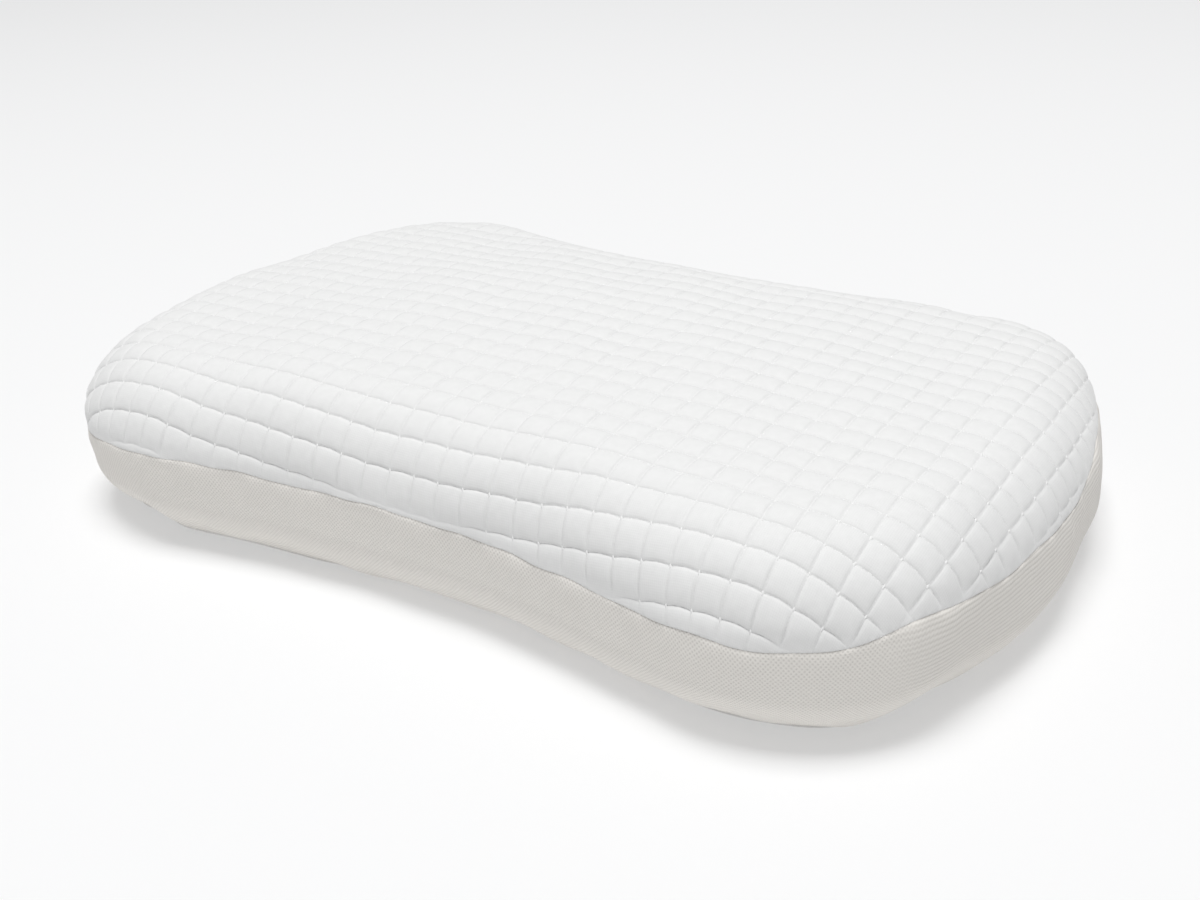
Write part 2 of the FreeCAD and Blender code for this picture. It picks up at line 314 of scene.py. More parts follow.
def ripples(x: np.ndarray, y: np.ndarray, seed: int, longest: float, shortest: float) -> np.ndarray:
    """Smooth random waves over a cloth, the same for the same seed.

    Args:
        x: places along the cloth.
        y: places across it.
        seed: which waves.
        longest: length of the longest wave.
        shortest: length of the shortest.

    Returns:
        Heights from about -1 to 1.
    """
    dice = np.random.default_rng(seed)
    total = np.zeros(np.broadcast(x, y).shape)
    count = 9
    for _ in range(count):
        turn, phase = dice.uniform(0, TAU, 2)
        wave = math.exp(dice.uniform(math.log(shortest), math.log(longest)))
        total += np.sin((x * math.cos(turn) + y * math.sin(turn)) * TAU / wave + phase)
    return total / math.sqrt(count)


def eased(x: np.ndarray, low: float, high: float) -> np.ndarray:
    """Ease from 0 at low to 1 at high."""
    share = np.clip((x - low) / (high - low), 0, 1)
    return share * share * (3 - 2 * share)


# ---------------------------------------------------------------------------
# Meshes
# ---------------------------------------------------------------------------


@dataclass
class Cloth:
    """A mesh being built: points, their flat cloth places, faces and named values per point."""

    wrap: float = 0.0

    def __post_init__(self) -> None:
        """Start with nothing in the mesh."""
        self.points: list[np.ndarray] = []
        self.flat: list[np.ndarray] = []
        self.faces: list[tuple[int, ...]] = []
        self.count = 0

    def add(self, points: np.ndarray, flat: np.ndarray) -> np.ndarray:
        """Add points with their flat cloth places.

        Args:
            points: places in the row's frame.
            flat: cloth places, two for each point.

        Returns:
            The new points' numbers.
        """
        self.points.append(points)
        self.flat.append(flat)
        first = self.count
        self.count += len(points)
        return np.arange(first, self.count)

    def join(self, upper: np.ndarray, lower: np.ndarray, closed: bool = True) -> None:
        """Join two runs of the same number of points with quads.

        Args:
            upper: numbers of the upper run's points.
            lower: numbers of the lower run's points.
            closed: whether the runs come round to their start.
        """
        count = len(upper) if closed else len(upper) - 1
        after = (np.arange(count) + 1) % len(upper)
        here = np.arange(count)
        quads = np.stack([upper[here], upper[after], lower[after], lower[here]], -1)
        self.faces.extend(map(tuple, quads.tolist()))

    def zip_up(self, upper: np.ndarray, upper_t: np.ndarray, lower: np.ndarray, lower_t: np.ndarray) -> None:
        """Join two closed rings of different numbers of points with triangles.

        Args:
            upper: numbers of the upper ring's points.
            upper_t: their places round the outline, rising.
            lower: numbers of the lower ring's points.
            lower_t: their places round the outline, rising.
        """
        first, second = 0, 0
        ends = len(upper), len(lower)
        top_t = np.append(upper_t, upper_t[0] + 1)
        low_t = np.append(lower_t, lower_t[0] + 1)
        while first < ends[0] or second < ends[1]:
            here, there = int(upper[first % ends[0]]), int(lower[second % ends[1]])
            step_up = second >= ends[1] or (first < ends[0] and top_t[first + 1] <= low_t[second + 1])
            if step_up:
                first += 1
                self.faces.append((here, int(upper[first % ends[0]]), there))
            else:
                second += 1
                self.faces.append((here, int(lower[second % ends[1]]), there))

    def close(self, ring: np.ndarray, point: np.ndarray, flat: tuple[float, float], last: bool) -> None:
        """Close a ring onto one middle point.

        Args:
            ring: numbers of the ring's points.
            point: the middle point.
            flat: its flat cloth place.
            last: whether the ring is the last of its run, otherwise it is the first.
        """
        middle = int(self.add(np.array([point]), np.array([flat]))[0])
        after = np.roll(ring, -1)
        pairs = zip(ring.tolist(), after.tolist()) if last else zip(after.tolist(), ring.tolist())
        self.faces.extend((here, there, middle) for here, there in pairs)

    def finish(self, name: str, values: dict[str, np.ndarray] | None = None) -> bpy.types.Object:
        """Make the object, with its faces turned outwards.

        Args:
            name: the piece's name.
            values: named values, one for each point.

        Returns:
            The new object, at the origin.
        """
        points = np.concatenate(self.points)
        mesh = bpy.data.meshes.new(name)
        mesh.from_pydata(points.tolist(), [], self.faces)
        if enclosed_volume(mesh) < 0:
            mesh.flip_normals()
        corner = np.zeros(len(mesh.loops), np.int32)
        mesh.loops.foreach_get("vertex_index", corner)
        flat = np.concatenate(self.flat)[corner]
        if self.wrap:
            flat = self._unwrapped(mesh, flat)
        layer = mesh.uv_layers.new(name=CLOTH_MAP)
        layer.data.foreach_set("uv", flat.astype(np.float32).ravel())
        for label, value in (values or {}).items():
            attribute = mesh.attributes.new(label, "FLOAT", "POINT")
            attribute.data.foreach_set("value", np.asarray(value, np.float32))
        mesh.polygons.foreach_set("use_smooth", np.ones(len(mesh.polygons), bool))
        mesh.update()
        made = bpy.data.objects.new(name, mesh)
        bpy.context.scene.collection.objects.link(made)
        LOG.info("%s: %d points, %d faces", name, len(points), len(self.faces))
        return made

    def _unwrapped(self, mesh: bpy.types.Mesh, flat: np.ndarray) -> np.ndarray:
        """Keep each face's cloth places together where a ring comes round to its start.

        Args:
            mesh: the new mesh.
            flat: cloth place of each face corner.

        Returns:
            The cloth places, with those past the start moved on by one turn.
        """
        starts = np.zeros(len(mesh.polygons), np.int32)
        sizes = np.zeros(len(mesh.polygons), np.int32)
        mesh.polygons.foreach_get("loop_start", starts)
        mesh.polygons.foreach_get("loop_total", sizes)
        highest = np.maximum.reduceat(flat[:, 0], starts)
        limit = np.repeat(highest - self.wrap / 2, sizes)
        moved = flat.copy()
        moved[:, 0] += np.where(flat[:, 0] < limit, self.wrap, 0)
        return moved


def enclosed_volume(mesh: bpy.types.Mesh) -> float:
    """Volume inside a closed mesh.

    Args:
        mesh: the closed mesh.

    Returns:
        The volume, negative if the faces look inwards.
    """
    mesh.calc_loop_triangles()
    corners = np.zeros(len(mesh.loop_triangles) * 3, np.int32)
    mesh.loop_triangles.foreach_get("vertices", corners)
    places = np.zeros(len(mesh.vertices) * 3, np.float32)
    mesh.vertices.foreach_get("co", places)
    a, b, c = np.moveaxis(places.reshape(-1, 3)[corners.reshape(-1, 3)].astype(float), 1, 0)
    return float(np.einsum("ij,ij->i", a, np.cross(b, c)).sum() / 6)


def swept(name: str, points: np.ndarray, flat: np.ndarray, closed: bool, wrap: float = 0.0,
          values: dict[str, np.ndarray] | None = None) -> bpy.types.Object:
    """Strip swept round the pillow from a closed section.

    Args:
        name: the piece's name.
        points: section points by places round the pillow, of shape (section, places, 3).
        flat: cloth places of the same shape, with a last axis of two.
        closed: whether the strip meets itself; otherwise its two ends are capped.
        wrap: cloth length once round, for a closed strip.
        values: named values per place, of shape (section, places).

    Returns:
        The new object.
    """
    cloth = Cloth(wrap=wrap)
    runs = [cloth.add(row, place) for row, place in zip(points, flat)]
    for upper, lower in zip(runs, runs[1:] + runs[:1]):
        cloth.join(upper, lower, closed)
    if not closed:
        cloth.faces.append(tuple(int(run[0]) for run in reversed(runs)))
        cloth.faces.append(tuple(int(run[-1]) for run in runs))
    flat_values = {label: value.ravel() for label, value in (values or {}).items()}
    return cloth.finish(name, {k: np.broadcast_to(v, (cloth.count,)) for k, v in flat_values.items()})


# ---------------------------------------------------------------------------
# Node trees
# ---------------------------------------------------------------------------


class Wiring:
    """Builds a node tree from short calls that take sockets or plain values."""

    def __init__(self, tree: bpy.types.NodeTree) -> None:
        """Work on one node tree."""
        self.tree = tree

    def put(self, socket: bpy.types.NodeSocket, value: object) -> None:
        """Link a socket to another, or set its own value.

        Args:
            socket: the input.
            value: another node's output, or a plain value.
        """
        if isinstance(value, bpy.types.NodeSocket):
            self.tree.links.new(value, socket)
        else:
            socket.default_value = value

    def node(self, kind: str, inputs: dict | None = None, **settings: object) -> bpy.types.Node:
        """Add a node.

        Args:
            kind: the node's type name.
            inputs: what goes in each input, by its name or number.
            settings: the node's own settings.

        Returns:
            The new node.
        """
        made = self.tree.nodes.new(kind)
        for name, value in settings.items():
            setattr(made, name, value)
        for name, value in (inputs or {}).items():
            self.put(made.inputs[name], value)
        return made

    def sum(self, operation: str, first: object, second: object = 0.0) -> bpy.types.NodeSocket:
        """Result of one step of arithmetic on two values."""
        return self.node("ShaderNodeMath", {0: first, 1: second}, operation=operation).outputs[0]

    def blend(self, share: object, first: object, second: object) -> bpy.types.NodeSocket:
        """Mix of two colours by a share.

        Args:
            share: how much of the second, from none to all.
            first: one colour.
            second: the other.

        Returns:
            The mixed colour's socket.
        """
        made = self.node("ShaderNodeMix", {0: share}, data_type="RGBA")
        self.put(made.inputs[6], first)
        self.put(made.inputs[7], second)
        return made.outputs[2]


def new_group(name: str, kind: str, takes: dict[str, str], gives: dict[str, str]) -> bpy.types.NodeTree:
    """Empty node group with named sockets.

    Args:
        name: the group's name.
        kind: the tree's type.
        takes: input names and socket types.
        gives: output names and socket types.

    Returns:
        The new group.
    """
    group = bpy.data.node_groups.new(name, kind)
    for direction, sockets in (("INPUT", takes), ("OUTPUT", gives)):
        for label, socket_type in sockets.items():
            group.interface.new_socket(label, in_out=direction, socket_type=socket_type)
    return group


class Weave(Enum):
    """The two ways the pillow's cloths are made."""

    KNIT = "fine_knit"
    MESH = "open_mesh"


def knit_group() -> bpy.types.NodeTree:
    """Fine knit: columns of small loops, loose fibre and small creases.

    Returns:
        The group, which takes Cloth, Pitch and Rib and gives a Height.
    """
    takes = {"Cloth": "NodeSocketVector", "Pitch": "NodeSocketFloat", "Rib": "NodeSocketFloat"}
    group = new_group(Weave.KNIT.value, "ShaderNodeTree", takes, {"Height": "NodeSocketFloat"})
    wire = Wiring(group)
    given = wire.node("NodeGroupInput").outputs
    place = wire.node("ShaderNodeSeparateXYZ", {0: given["Cloth"]}).outputs
    column = wire.sum("MULTIPLY", wire.sum("DIVIDE", place[0], given["Pitch"]), math.pi)
    row = wire.sum("MULTIPLY", wire.sum("DIVIDE", place[1], given["Pitch"]), TAU)
    rib = wire.sum("ABSOLUTE", wire.sum("SINE", column))
    loops = wire.sum("MULTIPLY", wire.sum("SINE", wire.sum("ADD", row, rib)), 0.3)
    fibre = wire.node("ShaderNodeTexNoise", {"Vector": given["Cloth"], "Scale": 900.0, "Detail": 3.0})
    creases = wire.node("ShaderNodeTexNoise", {"Vector": given["Cloth"], "Scale": 210.0, "Detail": 2.0})
    height = wire.sum("ADD", wire.sum("ADD", rib, loops), fibre.outputs[0])
    height = wire.sum("ADD", height, wire.sum("MULTIPLY", wire.sum("SUBTRACT", creases.outputs[0], 0.5), 3.0))
    wire.node("NodeGroupOutput", {"Height": wire.sum("MULTIPLY", height, 0.5)})
    return group


def mesh_group() -> bpy.types.NodeTree:
    """Open mesh: yarns crossing on the slant, turning to level ribs where Rib is 1.

    Returns:
        The group, which takes Cloth, Pitch and Rib and gives a Height.
    """
    takes = {"Cloth": "NodeSocketVector", "Pitch": "NodeSocketFloat", "Rib": "NodeSocketFloat"}
    group = new_group(Weave.MESH.value, "ShaderNodeTree", takes, {"Height": "NodeSocketFloat"})
    wire = Wiring(group)
    given = wire.node("NodeGroupInput").outputs
    drift = wire.node("ShaderNodeTexNoise", {"Vector": given["Cloth"], "Scale": 60.0, "Detail": 1.0})
    place = wire.node("ShaderNodeSeparateXYZ", {0: given["Cloth"]}).outputs
    sway = wire.sum("MULTIPLY", drift.outputs[0], 3.0)
    along = wire.sum("MULTIPLY", wire.sum("DIVIDE", place[0], given["Pitch"]), math.pi)
    down = wire.sum("MULTIPLY", wire.sum("DIVIDE", place[1], given["Pitch"]), math.pi)
    one = wire.sum("ABSOLUTE", wire.sum("COSINE", wire.sum("ADD", wire.sum("ADD", along, down), sway)))
    two = wire.sum("ABSOLUTE", wire.sum("COSINE", wire.sum("SUBTRACT", wire.sum("ADD", along, sway), down)))
    open_share = wire.sum("MULTIPLY", wire.sum("SUBTRACT", 1.0, one), wire.sum("SUBTRACT", 1.0, two))
    crossed = wire.sum("SUBTRACT", 1.0, wire.sum("POWER", open_share, 0.6))
    level = wire.sum("ABSOLUTE", wire.sum("COSINE", wire.sum("ADD", down, wire.sum("MULTIPLY", sway, 0.5))))
    ribbed = wire.sum("ADD", wire.sum("MULTIPLY", level, 0.75), wire.sum("MULTIPLY", two, 0.25))
    both = wire.node("ShaderNodeMix", {0: given["Rib"]}, data_type="FLOAT")
    wire.put(both.inputs[2], crossed)
    wire.put(both.inputs[3], ribbed)
    wire.node("NodeGroupOutput", {"Height": both.outputs[0]})
    return group


def grain_group() -> bpy.types.NodeTree:
    """Fine even grain of foam and of cast metal.

    Returns:
        The group, which takes Place and Scale and gives a Height.
    """
    takes = {"Place": "NodeSocketVector", "Scale": "NodeSocketFloat"}
    group = new_group(GRAIN, "ShaderNodeTree", takes, {"Height": "NodeSocketFloat"})
    wire = Wiring(group)
    given = wire.node("NodeGroupInput").outputs
    noise = wire.node("ShaderNodeTexNoise",
                      {"Vector": given["Place"], "Scale": given["Scale"], "Detail": 3.0})
    wire.node("NodeGroupOutput", {"Height": noise.outputs[0]})
    return group


@dataclass(frozen=True)
class ClothFinish:
    """A cloth's weave, its two tones, the darker of which is partly painted shade in the weave's hollows, an
    optional painted groove shade, and how it takes the light.
    """

    name: str
    weave: Weave
    pitch: float
    raised: tuple[float, float, float]
    sunk_shaded: tuple[float, float, float]
    relief: float
    roughness: float = 0.9
    sheen: float = 0.15
    # Darker tone painted into a cloth's grooves as shade, where it has one.
    groove_shade: tuple[float, float, float] | None = None

    def build(self) -> bpy.types.Material:
        """Make the material, with its weave in the cloth's own flat places.

        Returns:
            The new material.
        """
        material = bpy.data.materials.new(self.name)
        material.use_nodes = True
        wire = Wiring(material.node_tree)
        shader = material.node_tree.nodes["Principled BSDF"]
        group = bpy.data.node_groups.get(self.weave.value) or WEAVES[self.weave]()
        place = wire.node("ShaderNodeUVMap", uv_map=CLOTH_MAP).outputs[0]
        rib = wire.node("ShaderNodeAttribute", attribute_name="rib").outputs["Fac"]
        cloth = wire.node("ShaderNodeGroup", node_tree=group)
        for label, value in (("Cloth", place), ("Pitch", self.pitch), ("Rib", rib)):
            wire.put(cloth.inputs[label], value)
        height = cloth.outputs["Height"]
        # Colour follows the weave's height, so its sunk parts are darker: painted shade in the weave's
        # hollows, and in the open mesh partly its own pattern.
        colour = wire.blend(height, (*self.sunk_shaded, 1.0), (*self.raised, 1.0))
        # Painted shade: the groove value darkens the colour towards this tone deep in the quilting's grooves.
        if self.groove_shade:
            groove = wire.node("ShaderNodeAttribute", attribute_name="groove").outputs["Fac"]
            colour = wire.blend(groove, colour, (*self.groove_shade, 1.0))
        bump = wire.node("ShaderNodeBump", {"Strength": 0.6, "Distance": self.relief, "Height": height})
        wire.put(shader.inputs["Base Color"], colour)
        wire.put(shader.inputs["Normal"], bump.outputs[0])
        shader.inputs["Roughness"].default_value = self.roughness
        shader.inputs["Sheen Weight"].default_value = self.sheen
        shader.inputs["Sheen Roughness"].default_value = 0.5
        shader.inputs["Specular IOR Level"].default_value = 0.2
        return material


WEAVES = {Weave.KNIT: knit_group, Weave.MESH: mesh_group}


@dataclass(frozen=True)
class PlainFinish:
    """A plain material: thread, foam, nylon or metal."""

    name: str
    colour: tuple[float, float, float]
    roughness: float
    metallic: float = 0.0
    grain: float = 0.0
    grain_scale: float = 400.0
    glow: float = 0.0

    def build(self) -> bpy.types.Material:
        """Make the material, with a fine grain where it has one.

        Returns:
            The new material.
        """
        material = bpy.data.materials.new(self.name)
        material.use_nodes = True
        wire = Wiring(material.node_tree)
        shader = material.node_tree.nodes["Principled BSDF"]
        shader.inputs["Base Color"].default_value = (*self.colour, 1.0)
        shader.inputs["Roughness"].default_value = self.roughness
        shader.inputs["Metallic"].default_value = self.metallic
        shader.inputs["Emission Strength"].default_value = self.glow
        if self.grain:
            group = bpy.data.node_groups.get(GRAIN) or grain_group()
            grain = wire.node("ShaderNodeGroup", node_tree=group)
            wire.put(grain.inputs["Place"], wire.node("ShaderNodeTexCoord").outputs["Object"])
            wire.put(grain.inputs["Scale"], self.grain_scale)
            bump = wire.node("ShaderNodeBump", {"Distance": self.grain, "Height": grain.outputs["Height"]})
            wire.put(shader.inputs["Normal"], bump.outputs[0])
        return material


# Each cloth's second tone, for the weave's sunk parts, is darker partly as painted shade.
QUILT_KNIT = ClothFinish(
    "quilted_knit", Weave.KNIT, 0.0011, (0.83, 0.83, 0.822), (0.785, 0.785, 0.777), 0.00010,
    # painted shade laid into the quilting's grooves
    groove_shade=(0.80, 0.80, 0.793),
)
SPACER_MESH = ClothFinish(
    "spacer_mesh", Weave.MESH, 0.0023, (0.86, 0.833, 0.789), (0.665, 0.64, 0.60), 0.0004, sheen=0.1
)
BASE_CLOTH = ClothFinish(
    "base_cloth", Weave.KNIT, 0.0009, (0.76, 0.75, 0.73), (0.69, 0.68, 0.66), 0.0001
)
LINER_CLOTH = ClothFinish(
    "liner_cloth", Weave.KNIT, 0.0008, (0.90, 0.90, 0.89), (0.84, 0.84, 0.83), 0.00008
)
TAPE_CLOTH = ClothFinish(
    "zip_tape_cloth", Weave.KNIT, 0.0006, (0.80, 0.79, 0.76), (0.70, 0.69, 0.66), 0.00006
)
LABEL_CLOTH = ClothFinish(
    "label_cloth", Weave.KNIT, 0.0004, (0.92, 0.92, 0.91), (0.88, 0.88, 0.87), 0.00003, roughness=0.6
)
THREAD = PlainFinish("sewing_thread", (0.84, 0.84, 0.832), 0.85)
GREY_THREAD = PlainFinish("grey_thread", (0.70, 0.685, 0.65), 0.75)
FOAM = PlainFinish("memory_foam", (0.90, 0.88, 0.80), 0.95, grain=0.0006, grain_scale=700.0)
NYLON = PlainFinish("zip_nylon", (0.78, 0.77, 0.74), 0.4)
METAL = PlainFinish("zip_metal", (0.62, 0.62, 0.61), 0.32, metallic=1.0, grain=0.00002, grain_scale=900.0)


# ---------------------------------------------------------------------------
# Repeated small shapes
# ---------------------------------------------------------------------------


def repeats_group() -> bpy.types.NodeTree:
    """Geometry nodes that set one small rounded bead on every point, turned to the point's own axes.

    Returns:
        The group, with the bead's sizes, its variation, seed and material as inputs.
    """
    takes = {
        "Geometry": "NodeSocketGeometry",
        "Length": "NodeSocketFloat",
        "Width": "NodeSocketFloat",
        "Height": "NodeSocketFloat",
        "Variation": "NodeSocketFloat",
        "Seed": "NodeSocketInt",
        "Material": "NodeSocketMaterial",
    }
    group = new_group(SEWN, "GeometryNodeTree", takes, {"Geometry": "NodeSocketGeometry"})
    wire = Wiring(group)
    given = wire.node("NodeGroupInput").outputs
    bead = wire.node("GeometryNodeMeshUVSphere", {"Segments": 6, "Rings": 4, "Radius": 0.5})
    along = wire.node("GeometryNodeInputNamedAttribute", {"Name": "along"}, data_type="FLOAT_VECTOR")
    out = wire.node("GeometryNodeInputNamedAttribute", {"Name": "out"}, data_type="FLOAT_VECTOR")
    first = wire.node("FunctionNodeAlignRotationToVector", {"Vector": along.outputs[0]}, axis="X")
    turn = wire.node(
        "FunctionNodeAlignRotationToVector",
        {"Rotation": first.outputs[0], "Vector": out.outputs[0]},
        axis="Z",
        pivot_axis="X",
    )
    least = wire.sum("SUBTRACT", 1.0, given["Variation"])
    most = wire.sum("ADD", 1.0, given["Variation"])
    dice = wire.node("FunctionNodeRandomValue", {"Seed": given["Seed"]}, data_type="FLOAT")
    wire.put(dice.inputs[2], least)
    wire.put(dice.inputs[3], most)
    length = wire.sum("MULTIPLY", given["Length"], dice.outputs[1])
    size = wire.node("ShaderNodeCombineXYZ", {0: length, 1: given["Width"], 2: given["Height"]})
    placed = wire.node(
        "GeometryNodeInstanceOnPoints",
        {"Points": given["Geometry"], "Instance": bead.outputs[0], "Rotation": turn.outputs[0],
         "Scale": size.outputs[0]},
    )
    real = wire.node("GeometryNodeRealizeInstances", {"Geometry": placed.outputs[0]})
    smooth = wire.node("GeometryNodeSetShadeSmooth", {"Geometry": real.outputs[0]})
    coloured = wire.node("GeometryNodeSetMaterial",
                         {"Geometry": smooth.outputs[0], "Material": given["Material"]})
    wire.node("NodeGroupOutput", {"Geometry": coloured.outputs[0]})
    return group


@dataclass
class Repeats:
    """Many small beads of thread or nylon laid on a line of points."""

    length: float
    width: float
    height: float
    material: bpy.types.Material
    variation: float = 0.06
    seed: int = 7

    def lay(self, name: str, points: np.ndarray, along: np.ndarray, out: np.ndarray) -> bpy.types.Object:
        """Set a bead on every point.

        Args:
            name: the piece's name.
            points: the beads' middles.
            along: each bead's long direction.
            out: each bead's outward direction.

        Returns:
            One object with every bead in it.
        """
        mesh = bpy.data.meshes.new(name)
        mesh.from_pydata(points.tolist(), [], [])
        for label, value in (("along", along), ("out", out)):
            attribute = mesh.attributes.new(label, "FLOAT_VECTOR", "POINT")
            attribute.data.foreach_set("vector", np.asarray(value, np.float32).ravel())
        made = bpy.data.objects.new(name, mesh)
        bpy.context.scene.collection.objects.link(made)
        modifier = made.modifiers.new(SEWN, "NODES")
        modifier.node_group = bpy.data.node_groups.get(SEWN) or repeats_group()
        settings = {
            "Length": self.length,
            "Width": self.width,
            "Height": self.height,
            "Variation": self.variation,
            "Seed": self.seed,
            "Material": self.material,
        }
        for item in modifier.node_group.interface.items_tree:
            if item.in_out == "INPUT" and item.name in settings:
                modifier[item.identifier] = settings[item.name]
        evaluated = made.evaluated_get(bpy.context.evaluated_depsgraph_get())
        finished = bpy.data.meshes.new_from_object(evaluated)
        made.modifiers.clear()
        made.data = finished
        LOG.info("%s: %d beads, %d faces", name, len(points), len(finished.polygons))
        return made


# ---------------------------------------------------------------------------
# Sub-assemblies
# ---------------------------------------------------------------------------


@dataclass(frozen=True)
class Sway:
    """One place of the outline where a seam runs higher, or lower, than its even height."""

    height: float
    t: float
    reach: float


TOP_SEAM_SWAYS = (
    Sway(-0.0027, 0.520, 0.160),
    Sway(-0.0018, 0.425, 0.045),
    Sway(0.0068, 0.328, 0.022),
    Sway(0.0022, 0.280, 0.030),
    Sway(0.0105, 0.200, 0.036),
    Sway(0.0026, 0.595, 0.035),
    Sway(-0.0030, 0.643, 0.014),
)
BOTTOM_SEAM_SWAYS = (Sway(0.0052, 0.585, 0.042),)


@dataclass
class Heights:
    """Heights of the cover's long seams and of the zip's opening at the back."""

    top_seam: float = 0.0600
    bottom_seam: float = 0.0080
    bottom_drop: float = 0.0042
    slack: float = 0.0006
    zip_middle: float = 0.0428
    tape_edge: float = 0.0080
    join_t: float = 0.08855

    def _wavering(self, t: np.ndarray, sways: tuple[Sway, ...], seed: int, longest: float,
                  shortest: float) -> np.ndarray:
        """How far a sewn edge runs from its even height.

        Args:
            t: places round the outline.
            sways: its higher and lower places.
            seed: which ripples its slack makes.
            longest: their longest wave.
            shortest: their shortest.

        Returns:
            Heights above the even one.
        """
        total = self.slack * ripples(np.cos(TAU * t), np.sin(TAU * t), seed, longest, shortest)
        for sway in sways:
            total = total + sway.height * near(t, sway.t, sway.reach)
        return total

    def top_seam_at(self, t: np.ndarray) -> np.ndarray:
        """Height of the top seam round the pillow."""
        return self.top_seam + self._wavering(t, TOP_SEAM_SWAYS, 5, 0.5, 0.10) * away_from_zip(t)

    def bottom_seam_at(self, t: np.ndarray) -> np.ndarray:
        """Height of the bottom seam round the pillow, which drops away from the zip."""
        waver = self._wavering(t, BOTTOM_SEAM_SWAYS, 11, 0.30, 0.06) - self.bottom_drop
        return self.bottom_seam + waver * away_from_zip(t)


def near(t: np.ndarray, middle: float, reach: float) -> np.ndarray:
    """Soft hump round one place of the outline, 1 at its middle."""
    apart = np.abs(np.mod(np.asarray(t) - middle + 0.5, 1.0) - 0.5)
    return np.exp(-((apart / reach) ** 2))


def away_from_zip(t: np.ndarray) -> np.ndarray:
    """Share of the cloth's slack that is free, 0 along the zip at the back's middle."""
    apart = np.abs(np.mod(np.asarray(t) + 0.5, 1.0) - 0.5)
    return eased(apart, 0.095, 0.14)


@dataclass(frozen=True)
class Lump:
    """One place where the filled cover is fuller, or slacker, than its even form."""

    t: float
    s: float
    reach_t: float
    reach_s: float
    height: float


LUMPS = (
    Lump(0.552, 0.132, 0.034, 0.028, 0.0024),
    Lump(0.515, 0.130, 0.030, 0.028, 0.0018),
    Lump(0.455, 0.128, 0.036, 0.028, 0.0026),
    Lump(0.424, 0.124, 0.012, 0.028, 0.0018),
    Lump(0.617, 0.122, 0.015, 0.030, -0.0062),
    Lump(0.648, 0.070, 0.020, 0.020, 0.0022),
    Lump(0.710, 0.033, 0.050, 0.018, -0.0022),
    Lump(0.322, 0.120, 0.016, 0.030, -0.0036),
    Lump(0.380, 0.132, 0.020, 0.028, -0.0026),
    Lump(0.268, 0.108, 0.024, 0.030, 0.0030),
    Lump(0.178, 0.065, 0.022, 0.030, -0.0036),
    Lump(0.105, 0.026, 0.013, 0.016, -0.0036),
    Lump(0.800, 0.025, 0.030, 0.016, -0.0034),
    Lump(0.905, 0.027, 0.026, 0.016, 0.0028),
)


def softness(t: np.ndarray, s: np.ndarray, form: PillowForm) -> np.ndarray:
    """Broad unevenness of the filled cover: fuller in some places and slacker in others.

    Args:
        t: places round the outline.
        s: cloth lengths down from the edge of the flat top.
        form: the pillow's form.

    Returns:
        Distances outwards, none on the flat top and none on the underside.
    """
    x, y = np.cos(TAU * t), np.sin(TAU * t)
    total = 0.0006 * ripples(x, y + s * 4, 21, 1.6, 0.35) * away_from_zip(t)
    for lump in LUMPS:
        down = np.exp(-(((s - lump.s) / lump.reach_s) ** 2))
        total = total + lump.height * near(t, lump.t, lump.reach_t) * down
    return total * eased(s, 0.0, 0.022) * (1 - eased(s, form.foot_s - 0.016, form.foot_s - 0.002))


@dataclass
class QuiltPattern:
    """Square quilting: where its lines run on the flat cloth and how the cells puff up."""

    pitch: float = 0.01635
    column_start: float = -0.214
    row_start: float = -0.201
    turn: float = math.radians(0.80)
    puff: float = 0.0018
    row_power: float = 2.6
    row_round: float = 0.45
    column_power: float = 4.0
    column_depth: float = 0.58
    end_power: float = 2.2
    end_depth: float = 0.66
    bow: float = 0.045
    unevenness: float = 0.10
    strain: float = 0.0007

    def place(self, column: np.ndarray, row: np.ndarray) -> tuple[np.ndarray, np.ndarray]:
        """Flat cloth place of points given in cells of the quilting.

        Args:
            column: places in cells along the pillow.
            row: places in cells across it.

        Returns:
            Their flat places along and across the pillow.
        """
        a = column - np.floor(column + 1e-9)
        u = self.column_start + column * self.pitch
        w = self.row_start + (row + self.bow * 4 * a * (1 - a)) * self.pitch
        w = w + self.strain * ripples(u, w, 31, 0.30, 0.05)
        u = u + self.strain * ripples(u, w, 32, 0.30, 0.05)
        cos, sin = math.cos(self.turn), math.sin(self.turn)
        return u * cos - w * sin, u * sin + w * cos

    def puffed(self, column: np.ndarray, row: np.ndarray, end: np.ndarray) -> np.ndarray:
        """Height of the cloth over its grooves.

        Args:
            column: place in cells along the pillow.
            row: place in cells across it.
            end: share of the cell that hangs over one of the pillow's ends.

        Returns:
            Heights, from 0 in a groove to about puff.
        """
        i, j = np.floor(column + 1e-9).astype(int), np.floor(row + 1e-9).astype(int)
        a, b = np.clip(column - i, 0, 1), np.clip(row - j, 0, 1)
        across = (1 - np.abs(2 * b - 1) ** self.row_power) ** (1 / self.row_power)
        across = across * (1 - self.row_round) + 4 * b * (1 - b) * self.row_round
        narrow = (1 - np.abs(2 * a - 1) ** self.column_power) ** (1 / self.column_power)
        wide = (1 - np.abs(2 * a - 1) ** self.end_power) ** (1 / self.end_power)
        dice = np.random.default_rng(41).uniform(-1, 1, (128, 128))
        own = 1 + self.unevenness * dice[i % 128, j % 128]
        level = 1 - self.column_depth + self.column_depth * narrow
        hung = 1 - self.end_depth + self.end_depth * wide
        return self.puff * own * across * (level + (hung - level) * end)


